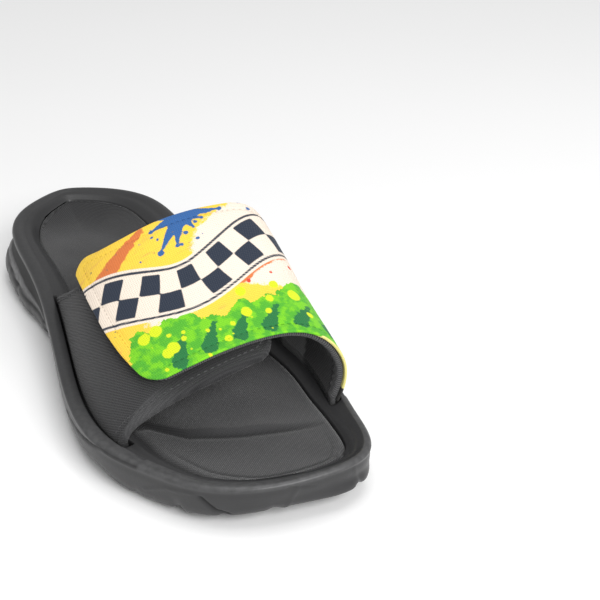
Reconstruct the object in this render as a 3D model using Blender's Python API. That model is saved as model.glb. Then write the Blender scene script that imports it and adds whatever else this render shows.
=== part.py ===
# Sport slide sandal, the right shoe of the pair: a moulded sole, an insole and
# two straps that close over each other. Sizes are in metres, +X to the toe,
# +Y to the wearer's left (the inner side of this right shoe), +Z up.
import math

import bmesh
import bpy
import numpy as np

MM = 0.001

# Overall sizes
SOLE_LENGTH = 280 * MM
SOLE_WIDTH = 108 * MM
HEEL_RIM_HEIGHT = 31 * MM
STRAP_HEIGHT = 79 * MM
TOE_SPRING = 6 * MM
SHANK_RISE = 5 * MM
HEEL_LIFT = 1.5 * MM

# Where the middle of the outline lies from the origin, which is under the
# middle of the whole shoe
FRAME_X = 1.55 * MM
FRAME_Y = 3.35 * MM

# Sole details
LUGS_PER_SIDE = 17
LUG_GROOVE = 1.6 * MM
LUG_REACH = 10 * MM
LUG_END = 2.5 * MM
FLARE = 7.0 * MM
TUCK = 9.5 * MM

# Insole
INSOLE_THICKNESS = 6.5 * MM
INSOLE_MARGIN = 15.5 * MM
INSOLE_EDGE_RADIUS = 3.2 * MM
BALL_PAD_RISE = 2.0 * MM
BALL_PAD_EDGE = 7 * MM
BALL_FADE_EDGE = 34 * MM
BALL_FADE_WIDTH = 26 * MM
ARCH_BUMP = 4.5 * MM
ARCH_BACK = 22 * MM
ARCH_SIDE = 27 * MM
ARCH_LONG = 34 * MM
ARCH_WIDE = 13 * MM
DISH_WIDTH = 22 * MM
SIDE_BLEND = 16 * MM

# Straps
STRAP_LATERAL_THICKNESS = 3.8 * MM
LINING_THICKNESS = 2.6 * MM
FACE_THICKNESS = 1.2 * MM
SEAT_LATERAL = 7.3 * MM
SEAT_MEDIAL = 3.4 * MM
STRAP_DIP = 1.0 * MM
STRAP_CLEAR = 0.5 * MM
CORNER_RADIUS_FACE = 9 * MM
CORNER_RADIUS_BLACK = 14 * MM
LINING_SHORTER = 1.0 * MM

# Fits
GAP = 0.3 * MM
SEAT_GAP = 0.4 * MM
SLOT_GAP = 0.55 * MM
SEAT_REAR_ROOM = 1.8 * MM
SEAT_FRONT_ROOM = 1.8 * MM
STRAP_GAP = 0.6 * MM
SEAT_END_STEP = 1.5 * MM
INSOLE_BED = 0.5 * MM
ARCH_MIDDLE = 42 * MM

# Outline of the rim seen from above, as shares of the length and the width
OUTLINE_COLUMNS = ("station", "medial", "lateral")
OUTLINE = (
    (0.000, 0.000, 0.000),
    (0.015, 0.115, 0.112),
    (0.060, 0.266, 0.260),
    (0.140, 0.371, 0.358),
    (0.280, 0.390, 0.386),
    (0.420, 0.371, 0.423),
    (0.560, 0.411, 0.484),
    (0.700, 0.469, 0.531),
    (0.800, 0.448, 0.500),
    (0.880, 0.411, 0.398),
    (0.940, 0.378, 0.295),
    (0.985, 0.301, 0.124),
    (1.000, 0.106, -0.106),
)

# Heights along the shoe, as shares of HEEL_RIM_HEIGHT: top of the rim, edge of
# the insole and middle of the insole
HEIGHT_COLUMNS = ("station", "rim", "insole_edge", "insole_middle")
HEIGHTS = (
    (0.00, 1.000, 0.740, 0.700),
    (0.10, 1.000, 0.720, 0.620),
    (0.22, 0.960, 0.700, 0.610),
    (0.40, 0.840, 0.655, 0.620),
    (0.55, 0.730, 0.580, 0.550),
    (0.65, 0.650, 0.510, 0.480),
    (0.75, 0.620, 0.475, 0.440),
    (0.85, 0.597, 0.460, 0.430),
    (0.93, 0.620, 0.465, 0.430),
    (1.00, 0.665, 0.500, 0.470),
)

# How far the side wall stands out (+, share of FLARE) or in (-, share of TUCK)
# of the outline, at the heights named in WALL_SHARES
WALL_COLUMNS = ("station", "edge", "low", "facet_out", "facet_in", "waist", "under")
WALL_SHARES = (0.0, 0.11, 0.30, 0.50, 0.70, 0.86)
WALL = (
    (0.00, -0.32, -0.05, 0.45, 0.45, 0.18, -0.08),
    (0.06, -0.10, 0.55, 1.00, 0.72, 0.27, -0.06),
    (0.15, 0.00, 0.45, 0.72, 0.27, -0.03, -0.08),
    (0.30, -0.05, 0.36, 0.45, -0.05, -0.10, -0.09),
    (0.35, -0.20, 0.20, 0.36, -0.06, -0.10, -0.09),
    (0.40, -0.84, -0.53, -0.26, -0.10, -0.06, -0.08),
    (0.50, -0.84, -0.47, -0.21, -0.06, -0.03, -0.08),
    (0.60, -0.74, -0.32, -0.13, -0.04, -0.04, -0.09),
    (0.72, -0.50, -0.18, -0.08, -0.07, -0.06, -0.10),
    (0.85, -0.66, -0.30, -0.16, -0.12, -0.08, -0.10),
    (0.95, -0.62, -0.24, -0.14, -0.10, -0.08, -0.10),
    (1.00, -0.90, -0.42, -0.22, -0.16, -0.08, -0.10),
)

# Top of the rim from outside to inside: share of its width, drop as a share of
# the step down to the insole
ROLL_COLUMNS = ("across", "drop")
ROLL = (
    (0.00, 0.28),
    (0.07, 0.10),
    (0.22, 0.00),
    (0.38, 0.08),
    (0.52, 0.24),
    (0.72, 0.36),
    (1.00, 0.92),
)

# Between which rows of ROLL a slot for a strap foot lies, and its two edges
# where no slot is cut, in the same shares
SLOT_AFTER = 5
SLOT_EDGES = ((0.58, 0.28), (0.66, 0.33))
SLOT_INNER_DROP = 0.62

# Margin between the outline and the insole, as shares of INSOLE_MARGIN
MARGIN_COLUMNS = ("station", "medial", "lateral")
MARGIN = (
    (0.00, 0.72, 0.72),
    (0.08, 0.84, 0.84),
    (0.20, 0.94, 0.96),
    (0.33, 0.94, 1.00),
    (0.45, 0.92, 0.90),
    (0.60, 0.96, 0.92),
    (0.72, 0.92, 1.10),
    (0.80, 0.86, 1.18),
    (0.87, 0.72, 0.96),
    (0.93, 0.75, 0.92),
    (0.97, 0.86, 0.90),
    (1.00, 0.79, 0.79),
)

# How much the edge of the insole climbs round the heel and along the arch, as
# shares of HEEL_RIM_HEIGHT
LIFT_COLUMNS = ("station", "medial", "lateral")
LIFT = (
    (0.00, 0.150, 0.150),
    (0.04, 0.155, 0.115),
    (0.10, 0.150, 0.030),
    (0.16, 0.130, 0.000),
    (0.30, 0.070, 0.000),
    (0.45, 0.030, 0.000),
    (0.60, 0.000, 0.000),
    (1.00, 0.000, 0.000),
)

# Front edge of the ball pad: shares of SOLE_WIDTH from the middle and of
# SOLE_LENGTH in front of it
BALL_COLUMNS = ("across", "ahead")
BALL_LINE = (
    (-0.296, 0.257),
    (-0.185, 0.304),
    (0.000, 0.336),
    (0.204, 0.357),
    (0.352, 0.371),
)

# The arch that the straps follow. Crown and reach are shares of SOLE_WIDTH,
# the crown height is a share of STRAP_HEIGHT, and fullness squares the inner side
ARCH_COLUMNS = ("station", "crown_y", "crown_z", "medial_reach", "fullness")
ARCH = (
    (0.36, 0.19, 0.985, 0.405, 3.6),
    (0.50, 0.19, 0.965, 0.417, 3.8),
    (0.57, 0.18, 0.930, 0.425, 3.8),
    (0.64, 0.17, 0.835, 0.425, 3.5),
    (0.71, 0.155, 0.735, 0.418, 3.1),
    (0.79, 0.145, 0.640, 0.410, 2.9),
    (0.85, 0.135, 0.590, 0.395, 2.8),
)

# Where the strap edges run, along the arch from the lateral base (0) to the
# medial base (1); rear and front are stations along the shoe
EDGE_COLUMNS = ("along", "rear", "front")
BLACK_EDGES = (
    (0.00, 0.388, 0.801),
    (0.06, 0.438, 0.809),
    (0.14, 0.500, 0.822),
    (0.24, 0.545, 0.832),
    (0.40, 0.566, 0.839),
    (0.62, 0.576, 0.833),
)
PRINT_EDGES = (
    (0.19, 0.508, 0.803),
    (0.23, 0.514, 0.807),
    (0.28, 0.536, 0.811),
    (0.34, 0.551, 0.814),
    (0.45, 0.559, 0.816),
    (0.60, 0.563, 0.817),
    (0.72, 0.564, 0.823),
    (0.82, 0.532, 0.833),
    (0.92, 0.450, 0.837),
    (1.00, 0.390, 0.838),
)
BLACK_END = 0.63
PRINT_END = 0.192
PRINT_SKEW = 0.024
SKEW_FADE = 0.35
REAR_CORNER = 0.72

# How finely the closed shapes are divided
INSOLE_SIDE_CELLS = 44
STRAP_CELLS = 9
ARCH_CELLS = 18


def table(rows, x, columns):
    """Smooth value of each named column of a table at x."""
    keys = np.array([row[0] for row in rows])
    data = np.array([row[1:1 + columns] for row in rows])
    x = np.clip(np.atleast_1d(np.asarray(x, float)), keys[0], keys[-1])
    step = np.diff(keys)
    slope = np.diff(data, axis=0) / step[:, None]
    tangent = np.zeros_like(data)
    inner = slope[:-1] * slope[1:]
    mean = (slope[:-1] + slope[1:]) / 2
    limit = 3 * np.minimum(abs(slope[:-1]), abs(slope[1:]))
    tangent[1:-1] = np.where(inner > 0, np.sign(mean) * np.minimum(abs(mean), limit), 0)
    tangent[0] = slope[0]
    tangent[-1] = slope[-1]
    i = np.clip(np.searchsorted(keys, x, side="right") - 1, 0, len(step) - 1)
    h = step[i][:, None]
    t = ((x - keys[i]) / step[i])[:, None]
    a = data[i] * (2 * t ** 3 - 3 * t ** 2 + 1) + tangent[i] * h * (t ** 3 - 2 * t ** 2 + t)
    b = data[i + 1] * (3 * t ** 2 - 2 * t ** 3) + tangent[i + 1] * h * (t ** 3 - t ** 2)
    return a + b


def closed_spline(points, samples):
    """Smooth closed curve through points, with the knot value of each sample."""
    n = len(points)
    gaps = np.hypot(*(np.roll(points, -1, 0) - points).T) ** 0.5
    knots = np.concatenate([[0], np.cumsum(gaps)])
    matrix = np.zeros((n, n))
    right = np.zeros((n, 2))
    for i in range(n):
        before = gaps[i - 1]
        after = gaps[i]
        matrix[i, i - 1] += before
        matrix[i, i] += 2 * (before + after)
        matrix[i, (i + 1) % n] += after
        rise = (points[(i + 1) % n] - points[i]) / after
        fall = (points[i] - points[i - 1]) / before
        right[i] = 6 * (rise - fall)
    second = np.linalg.solve(matrix, right)
    values = np.linspace(0, knots[-1], samples + 1)
    i = np.clip(np.searchsorted(knots, values, side="right") - 1, 0, n - 1)
    j = (i + 1) % n
    h = gaps[i][:, None]
    a = ((knots[i + 1] - values) / gaps[i])[:, None]
    b = 1 - a
    bend = (a ** 3 - a) * second[i] + (b ** 3 - b) * second[j]
    return a * points[i] + b * points[j] + bend * h ** 2 / 6, values, knots


def outline_sides():
    """The rim outline as two dense lines from heel to toe: medial, lateral."""
    rows = np.array(OUTLINE)
    x = (rows[:, 0] - 0.5) * SOLE_LENGTH
    medial = np.column_stack([x, rows[:, 1] * SOLE_WIDTH])
    lateral = np.column_stack([x, -rows[:, 2] * SOLE_WIDTH])
    ring = np.vstack([medial, lateral[::-1][1:-1]])
    curve, values, knots = closed_spline(ring, 4000)
    toe = knots[len(rows) - 1]
    return curve[values <= toe], curve[values >= toe][::-1]


MEDIAL_LINE, LATERAL_LINE = outline_sides()


def half_width(x, side):
    """Half width of the rim outline at x on the medial (1) or lateral (-1) side."""
    line = MEDIAL_LINE if side > 0 else LATERAL_LINE
    order = np.argsort(line[:, 0])
    return side * np.interp(x, line[order, 0], line[order, 1])


def seat_range(side):
    """Rear and front ends, along X, of the room for a strap foot."""
    row = BLACK_EDGES[0] if side < 0 else PRINT_EDGES[-1]
    start = (row[1] - 0.5) * SOLE_LENGTH - SEAT_REAR_ROOM
    end = (row[2] - 0.5) * SOLE_LENGTH + SEAT_FRONT_ROOM
    return start, end


def slot_walls(side):
    """Margins from the outline to the outer and inner wall of a strap slot."""
    if side > 0:
        strap = FACE_THICKNESS + GAP + LINING_THICKNESS
        return SEAT_MEDIAL - SEAT_GAP, SEAT_MEDIAL + strap + SLOT_GAP
    outer = SEAT_LATERAL + STRAP_GAP / 2
    return SEAT_LATERAL - SEAT_GAP, outer + STRAP_LATERAL_THICKNESS + SLOT_GAP


def ring_points(fractions, seated=False):
    """Outline points and outward normals: medial heel to toe, lateral back."""
    dense = np.vstack([MEDIAL_LINE, LATERAL_LINE[::-1][1:-1]])
    tangent = np.roll(dense, -8, 0) - np.roll(dense, 8, 0)
    normal = np.column_stack([-tangent[:, 1], tangent[:, 0]])
    normal /= np.hypot(*normal.T)[:, None]
    slot_x = {}
    for side, line, facing in (
        (1, MEDIAL_LINE, normal[:len(MEDIAL_LINE)]),
        (-1, LATERAL_LINE, np.vstack([normal[:1], normal[:len(MEDIAL_LINE) - 2:-1]])),
    ):
        slot_x[side] = line[:, 0] - facing[:, 0] * sum(slot_walls(side)) / 2

    def along(line, side):
        length = np.concatenate([[0], np.cumsum(np.hypot(*np.diff(line, axis=0).T))])
        target = fractions * length[-1]
        if seated:
            start, end = seat_range(side)
            taken = []
            for x in (start - SEAT_END_STEP, start, end, end + SEAT_END_STEP):
                place = np.interp(x, slot_x[side], length)
                free = [k for k in range(1, len(target) - 1) if k not in taken]
                near = min(free, key=lambda k: abs(target[k] - place))
                taken.append(near)
                target[near] = place
            target = np.sort(target)
        place_x = np.interp(target, length, slot_x[side])
        return np.column_stack([np.interp(target, length, line[:, k]) for k in (0, 1)] + [place_x])
    medial = along(MEDIAL_LINE, 1)
    lateral = along(LATERAL_LINE, -1)
    ring = np.vstack([medial, lateral[::-1][1:-1]])
    side = np.concatenate([np.ones(len(medial)), -np.ones(len(lateral) - 2)])
    near = [int(np.argmin(((dense - p[:2]) ** 2).sum(1))) for p in ring]
    held = np.array([seats(p[2], s) for p, s in zip(ring, side)])
    return ring[:, :2], normal[near], side, held


def station(x):
    return np.clip(x / SOLE_LENGTH + 0.5, 0, 1)


def bottom_height(u):
    """Height of the tread: flat at heel and ball, raised at shank and toe."""
    u = np.asarray(u, float)
    shank = np.clip(1 - abs(u - 0.465) / 0.115, 0, 1)
    toe = np.clip((u - 0.79) / 0.21, 0, 1)
    heel = np.clip((0.05 - u) / 0.05, 0, 1)
    lift = SHANK_RISE * shank ** 2 * (3 - 2 * shank)
    return lift + TOE_SPRING * toe ** 2 + HEEL_LIFT * heel ** 2


def seats(x, side):
    """True where a strap foot sits between rim and insole."""
    start, end = seat_range(side)
    return start - 0.1 * MM < x < end + 0.1 * MM


def insole_margin(u, side):
    both = table(MARGIN, u, 2) * INSOLE_MARGIN
    return np.where(side > 0, both[:, 0], both[:, 1])


def floor_height(u):
    heights = table(HEIGHTS, u, 3) * HEEL_RIM_HEIGHT
    return heights[:, 2] - INSOLE_THICKNESS


def edge_lift(u, side):
    """How much the insole edge stands above its table height on each side."""
    both = table(LIFT, u, 2) * HEEL_RIM_HEIGHT
    return np.where(side > 0, both[:, 0], both[:, 1])


def edge_height(u, side):
    return table(HEIGHTS, u, 3)[:, 1] * HEEL_RIM_HEIGHT + edge_lift(u, side)


def ball_line(y):
    """Where the ball pad ends, along X, for a distance from the centre line."""
    across = [row[0] * SOLE_WIDTH for row in BALL_LINE]
    reach = [row[1] * SOLE_LENGTH for row in BALL_LINE]
    return np.interp(y, across, reach)


def insole_top(x, y, reach):
    """Height of the insole surface at a distance, reach, from its edge."""
    heights = table(HEIGHTS, station(x), 3) * HEEL_RIM_HEIGHT
    inner = np.clip(0.5 + y / (2 * SIDE_BLEND), 0, 1)
    lift = inner * edge_lift(station(x), 1) + (1 - inner) * edge_lift(station(x), -1)
    edge = heights[:, 1] + lift
    dish = 1 - (1 - np.clip(reach / DISH_WIDTH, 0, 1)) ** 2.2
    z = edge + (heights[:, 2] - edge) * dish
    step = np.clip((ball_line(y) - x) / BALL_PAD_EDGE, 0, 1)
    fade = np.clip((BALL_FADE_EDGE - y) / BALL_FADE_WIDTH, 0, 1)
    fade = fade * np.clip((station(x) - 0.55) / 0.2, 0, 1)
    z = z + BALL_PAD_RISE * step ** 2 * (3 - 2 * step) * fade * dish
    along = (x + ARCH_BACK) / ARCH_LONG
    across = (y - ARCH_SIDE) / ARCH_WIDE
    return z + ARCH_BUMP * np.exp(-along ** 2 - across ** 2) * dish


class Shape:
    """A closed shape gathered from rows of points."""

    def __init__(self):
        self.mesh = bmesh.new()

    def row(self, points):
        return [self.mesh.verts.new(p) for p in points]

    def face(self, corners):
        kept = []
        for corner in corners:
            if corner not in kept:
                kept.append(corner)
        if len(kept) > 2:
            self.mesh.faces.new(kept)

    def band(self, lower, upper):
        n = len(lower)
        for i in range(n):
            j = (i + 1) % n
            self.face((lower[i], lower[j], upper[j], upper[i]))

    def bridge(self, ring, cells, height, upward):
        """Fill a ring with a grid that joins its two sides."""
        n = len(ring)
        half = n // 2
        lines = []
        for i in range(half + 1):
            left = ring[i]
            right = ring[(n - i) % n]
            if left is right:
                lines.append([left] * (cells + 1))
                continue
            line = [left]
            for k in range(1, cells):
                t = k / cells
                p = left.co.lerp(right.co, t)
                p.z = height(p.x, p.y)
                line.append(self.mesh.verts.new(p))
            line.append(right)
            lines.append(line)
        for a, b in zip(lines[:-1], lines[1:]):
            for k in range(cells):
                corners = [a[k], a[k + 1], b[k + 1], b[k]]
                self.face(corners if upward else corners[::-1])

    def done(self, name, colour, roughness):
        bmesh.ops.recalc_face_normals(self.mesh, faces=self.mesh.faces)
        bmesh.ops.triangulate(self.mesh, faces=self.mesh.faces)
        bmesh.ops.translate(self.mesh, vec=(FRAME_X, FRAME_Y, 0), verts=self.mesh.verts)
        data = bpy.data.meshes.new(name)
        self.mesh.to_mesh(data)
        self.mesh.free()
        thing = bpy.data.objects.new(name, data)
        bpy.context.scene.collection.objects.link(thing)
        finish = bpy.data.materials.new(name + "_finish")
        finish.use_nodes = True
        shader = finish.node_tree.nodes["Principled BSDF"]
        shader.inputs["Base Color"].default_value = (*colour, 1)
        shader.inputs["Roughness"].default_value = roughness
        data.materials.append(finish)
        return thing


def at_height(ring, normal, out, z):
    flat = ring + normal * np.asarray(out)[:, None]
    return np.column_stack([flat, z])


def make_sole():
    steps = (0.0, 0.14, 0.22, 0.57, 0.92)
    cells = [(k + s) / LUGS_PER_SIDE for k in range(LUGS_PER_SIDE) for s in steps]
    groove = [s in steps[:2] for _ in range(LUGS_PER_SIDE) for s in steps]
    fractions = np.array(cells + [1.0])
    ring, normal, side, held = ring_points(fractions, seated=True)
    cut_medial = np.array(groove + [True], float)
    cut = np.concatenate([cut_medial, cut_medial[::-1][1:-1]])
    cut[0] = 0
    cut[len(fractions) - 1] = 0
    u = station(ring[:, 0])
    base = bottom_height(u)
    rim = table(HEIGHTS, u, 3)[:, 0] * HEEL_RIM_HEIGHT
    inner_edge = edge_height(u, side)
    shape = Shape()

    wall = table(WALL, u, 6)
    out = np.where(wall > 0, wall * FLARE, wall * TUCK)
    depth = cut * LUG_GROOVE
    lug_end = at_height(ring, normal, out[:, 0] - LUG_REACH - LUG_END, base)
    lug_in = at_height(ring, normal, out[:, 0] - LUG_REACH, base + depth)
    rows = [shape.row(lug_end), shape.row(lug_in)]
    bite = (0.55, 0.50, 0.20, 0.0, 0.0, 0.0)
    rise = (1.0, 0.45, 0.0, 0.0, 0.0, 0.0)
    for k, share in enumerate(WALL_SHARES):
        z = base + share * (rim - base) + rise[k] * depth
        rows.append(shape.row(at_height(ring, normal, out[:, k] - bite[k] * depth, z)))
    margin = insole_margin(u, side) - SEAT_GAP
    drop = rim - inner_edge
    floor = floor_height(u)
    walls = np.array([slot_walls(s) for s in side])
    roll_end = ROLL[SLOT_AFTER - 1][0]
    for across, fall in ROLL[:SLOT_AFTER]:
        reach = np.where(held, across / roll_end * walls[:, 0], across * margin)
        rows.append(shape.row(at_height(ring, normal, -reach, rim - fall * drop)))
    for (across, fall), wall in zip(SLOT_EDGES, walls.T):
        reach = np.where(held, wall, across * margin)
        z = np.where(held, floor, rim - fall * drop)
        rows.append(shape.row(at_height(ring, normal, -reach, z)))
    for across, fall in ROLL[SLOT_AFTER:]:
        top = across < 1
        reach = np.where(held & top, walls[:, 1], across * margin)
        z = rim - np.where(held & top, SLOT_INNER_DROP, fall) * drop
        rows.append(shape.row(at_height(ring, normal, -reach, z)))
    rows.append(shape.row(at_height(ring, normal, -margin, floor)))
    for lower, upper in zip(rows[:-1], rows[1:]):
        shape.band(lower, upper)
    shape.bridge(rows[0], 4, lambda x, y: float(bottom_height(station(x))), False)
    shape.bridge(rows[-1], 4, lambda x, y: float(floor_height(station(x))[0]), True)
    return shape.done("sole", (0.035, 0.035, 0.037), 0.55)


def make_insole():
    fractions = np.linspace(0, 1, INSOLE_SIDE_CELLS + 1)
    ring, normal, side, _ = ring_points(fractions)
    u = station(ring[:, 0])
    margin = insole_margin(u, side)
    low = floor_height(u) + INSOLE_BED
    edge = edge_height(u, side)
    shape = Shape()
    inset = (0.0, 0.0, 0.16, 0.50, 1.0)
    drop = (None, 0.60, 0.28, 0.08, 0.0)
    rows = []
    for across, fall in zip(inset, drop):
        step = across * INSOLE_EDGE_RADIUS
        z = low if fall is None else edge - fall * INSOLE_EDGE_RADIUS
        rows.append(shape.row(at_height(ring, normal, -margin - step, z)))
    for lower, upper in zip(rows[:-1], rows[1:]):
        shape.band(lower, upper)
    shape.bridge(rows[0], 3, lambda x, y: float(floor_height(station(x))[0]) + INSOLE_BED, False)
    edge_line = at_height(ring, normal, -margin - INSOLE_EDGE_RADIUS, edge)[:, :2]

    def top(x, y):
        reach = float(np.hypot(*(edge_line - (x, y)).T).min())
        return float(insole_top(x, y, reach)[0])

    shape.bridge(rows[-1], 12, top, True)
    return shape.done("insole", (0.045, 0.045, 0.047), 0.85)


def arch_section(x):
    """Points (y, z) of the strap arch at x, with their place along it.

    The place is 0 at the lateral base and 1 at the medial base; the straight
    feet below the bases have places under 0 and over 1.
    """
    u = x / SOLE_LENGTH + 0.5
    crown_y, crown_z, reach_m, full = table(ARCH, u, 4)[0]
    crown = np.array([crown_y * SOLE_WIDTH, crown_z * STRAP_HEIGHT])
    rim = table(HEIGHTS, station(x), 3)[0, 0] * HEEL_RIM_HEIGHT
    base_l = rim - STRAP_DIP
    base_m = rim + STRAP_CLEAR
    foot_l = -(half_width(x, -1) - SEAT_LATERAL)
    foot_m = half_width(x, 1) - SEAT_MEDIAL - FACE_THICKNESS - LINING_THICKNESS - GAP - STRAP_GAP / 2
    floor = float(floor_height(station(x))[0]) + GAP
    angle = np.linspace(0, math.pi / 2, 60)
    y_l = crown[0] - (crown[0] - foot_l) * np.cos(angle)
    z_l = base_l + (crown[1] - base_l) * np.sin(angle)
    power = 2 / full
    reach = reach_m * SOLE_WIDTH
    y_m = crown[0] + (reach - crown[0]) * np.sin(angle) ** power
    z_m = base_m + (crown[1] - base_m) * np.cos(angle) ** power
    sink = np.clip((z_m - base_m) / (0.5 * (crown[1] - base_m)), 0, 1)
    y_m = y_m + (foot_m - reach) * (1 - sink) ** 2 * (y_m > crown[0])
    y = np.concatenate([y_l, y_m[1:]])
    z = np.concatenate([z_l, z_m[1:]])
    length = np.concatenate([[0], np.cumsum(np.hypot(np.diff(y), np.diff(z)))])
    place = length / length[-1]
    y = np.concatenate([[foot_l], y, [foot_m]])
    z = np.concatenate([[floor], z, [floor]])
    place = np.concatenate([[-1], place, [2]])
    return y, z, place, length[-1]


def arch_point(x, along):
    y, z, place, _ = arch_section(x)
    return np.array([x, np.interp(along, place, y), np.interp(along, place, z)])


def strap_grid(edges, places, end_place, radius, trim=0.0, skew=0.0):
    """Grid of arch points: one line per place, from the rear to the front edge."""
    grid = []
    arch_length = arch_section(ARCH_MIDDLE)[3]
    for along in places:
        rear, front = table(edges, min(max(along, 0), 1), 2)[0]
        x0 = (rear - 0.5) * SOLE_LENGTH + trim
        x1 = (front - 0.5) * SOLE_LENGTH - trim
        left = abs(along - end_place) * arch_length
        if left < radius:
            cut = radius - math.sqrt(max(radius ** 2 - (radius - left) ** 2, 0))
            x0 += cut * REAR_CORNER
            x1 -= cut
        spread = np.linspace(0, 1, STRAP_CELLS + 1)
        spread = 0.5 - 0.5 * np.cos(spread * math.pi) * 0.25 - 0.75 * (0.5 - spread)
        hold = max(1 - abs(along - end_place) / SKEW_FADE, 0)
        line = [arch_point(x0 + (x1 - x0) * s, along + skew * s * hold) for s in spread]
        grid.append(line)
    return np.array(grid)


def grid_normals(grid):
    along = np.gradient(grid, axis=0)
    across = np.gradient(grid, axis=1)
    normal = np.cross(across, along)
    normal /= np.linalg.norm(normal, axis=2)[:, :, None]
    # the middle of the arch faces up
    centre = normal[len(grid) // 2, grid.shape[1] // 2]
    return normal if centre[2] > 0 else -normal


def make_layer(name, grid, inner, outer, colour, roughness):
    """A closed sheet between two offsets of a grid."""
    normal = grid_normals(grid)
    shape = Shape()
    sheets = []
    for offset in (inner, outer):
        points = grid + normal * offset
        sheets.append([shape.row(line) for line in points])
    low, high = sheets
    rows = len(grid)
    columns = grid.shape[1]
    for i in range(rows - 1):
        for j in range(columns - 1):
            shape.face((low[i][j], low[i][j + 1], low[i + 1][j + 1], low[i + 1][j]))
            shape.face((high[i][j], high[i + 1][j], high[i + 1][j + 1], high[i][j + 1]))
    rim = [(0, j) for j in range(columns)]
    rim += [(i, columns - 1) for i in range(1, rows)]
    rim += [(rows - 1, j) for j in range(columns - 2, -1, -1)]
    rim += [(i, 0) for i in range(rows - 2, 0, -1)]
    for k, (i, j) in enumerate(rim):
        p, q = rim[(k + 1) % len(rim)]
        shape.face((low[i][j], low[p][q], high[p][q], high[i][j]))
    return shape.done(name, colour, roughness)


def end_places(end, start, radius):
    """Places from a free end: close together over the rounded corners."""
    arch_length = arch_section(ARCH_MIDDLE)[3]
    turn = [radius * (1 - math.cos(a * math.pi / 2)) for a in (0.2, 0.45, 0.7, 1.0)]
    direction = 1 if start > end else -1
    near = [end + direction * t / arch_length for t in turn]
    rest = np.linspace(near[-1], start, ARCH_CELLS - 3)[1:]
    return near + list(rest)


def make_straps():
    places = end_places(BLACK_END, 0.0, CORNER_RADIUS_BLACK) + [-1]
    grid = strap_grid(BLACK_EDGES, places, BLACK_END, CORNER_RADIUS_BLACK)
    make_layer(
        "strap_lateral", grid, -STRAP_GAP / 2 - STRAP_LATERAL_THICKNESS, -STRAP_GAP / 2,
        (0.04, 0.04, 0.042), 0.85,
    )
    places = end_places(PRINT_END, 1.0, CORNER_RADIUS_FACE) + [2]
    grid = strap_grid(
        PRINT_EDGES, places, PRINT_END, CORNER_RADIUS_FACE, skew=PRINT_SKEW,
    )
    inner = STRAP_GAP / 2 + LINING_THICKNESS + GAP
    make_layer(
        "strap_medial_face", grid, inner, inner + FACE_THICKNESS, (0.75, 0.62, 0.10), 0.7,
    )
    short = PRINT_END + LINING_SHORTER / arch_section(ARCH_MIDDLE)[3]
    places = end_places(short, 1.0, CORNER_RADIUS_FACE) + [2]
    grid = strap_grid(
        PRINT_EDGES, places, short, CORNER_RADIUS_FACE, LINING_SHORTER, PRINT_SKEW,
    )
    make_layer(
        "strap_medial_lining", grid, STRAP_GAP / 2, STRAP_GAP / 2 + LINING_THICKNESS,
        (0.04, 0.04, 0.042), 0.85,
    )


def main():
    for thing in list(bpy.data.objects):
        bpy.data.objects.remove(thing, do_unlink=True)
    make_sole()
    make_insole()
    make_straps()


main()
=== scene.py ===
# Sport slide sandal, the right shoe of the pair: the looks over the CAD frame.
# Sizes are in mm until a mesh is made: +X to the toe, +Y to the wearer's left
# (the inner side of this right shoe), +Z up, with the origin under the middle
# of the rim outline. FRAME then moves each mesh to the CAD frame.
import math

import bmesh
import bpy
import numpy as np
from mathutils import Matrix, Vector


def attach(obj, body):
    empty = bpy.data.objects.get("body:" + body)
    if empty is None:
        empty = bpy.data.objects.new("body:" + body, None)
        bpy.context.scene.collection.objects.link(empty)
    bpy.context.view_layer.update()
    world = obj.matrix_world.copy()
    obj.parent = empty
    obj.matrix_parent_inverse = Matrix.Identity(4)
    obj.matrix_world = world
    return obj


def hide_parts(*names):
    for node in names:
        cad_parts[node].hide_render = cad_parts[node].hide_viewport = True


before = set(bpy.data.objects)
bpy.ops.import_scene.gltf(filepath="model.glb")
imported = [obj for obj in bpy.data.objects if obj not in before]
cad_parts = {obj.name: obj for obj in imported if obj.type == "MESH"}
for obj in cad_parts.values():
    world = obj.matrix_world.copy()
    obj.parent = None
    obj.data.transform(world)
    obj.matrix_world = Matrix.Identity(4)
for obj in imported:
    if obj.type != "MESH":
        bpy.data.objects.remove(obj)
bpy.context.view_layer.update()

MM = 0.001
FRAME = np.array([1.55, 3.35, 0.0])

# Sizes as in the CAD source, apart from the ball pad's edge, which is crisper
# here, and the room and step of the strap slots
SOLE_LENGTH = 280.0
SOLE_WIDTH = 108.0
HEEL_RIM_HEIGHT = 31.0
STRAP_HEIGHT = 79.0
TOE_SPRING = 6.0
SHANK_RISE = 5.0
LUGS_PER_SIDE = 17
LUG_GROOVE = 1.6
LUG_REACH = 10.0
LUG_END = 2.5
FLARE = 7.0
TUCK = 9.5
INSOLE_THICKNESS = 6.5
INSOLE_MARGIN = 15.5
BALL_PAD_RISE = 2.0
BALL_PAD_EDGE = 3.0
BALL_FADE_EDGE = 34.0
BALL_FADE_WIDTH = 26.0
ARCH_BUMP = 4.5
ARCH_BACK = 22.0
ARCH_SIDE = 27.0
ARCH_LONG = 34.0
ARCH_WIDE = 13.0
SIDE_BLEND = 16.0
DISH_WIDTH = 22.0
STRAP_LATERAL_THICKNESS = 3.8
LINING_THICKNESS = 2.6
FACE_THICKNESS = 1.2
SEAT_LATERAL = 7.3
SEAT_MEDIAL = 3.4
STRAP_DIP = 1.0
STRAP_CLEAR = 0.5
CORNER_RADIUS_FACE = 9.0
CORNER_RADIUS_BLACK = 14.0
LINING_SHORTER = 1.0
GAP = 0.3
SEAT_GAP = 0.4
SLOT_GAP = 0.55
SLOT_END_ROOM = 0.35
SLOT_END_STEP = 0.8
SLOT_OUTER_ROOM = 0.9
STRAP_GAP = 0.6
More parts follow.
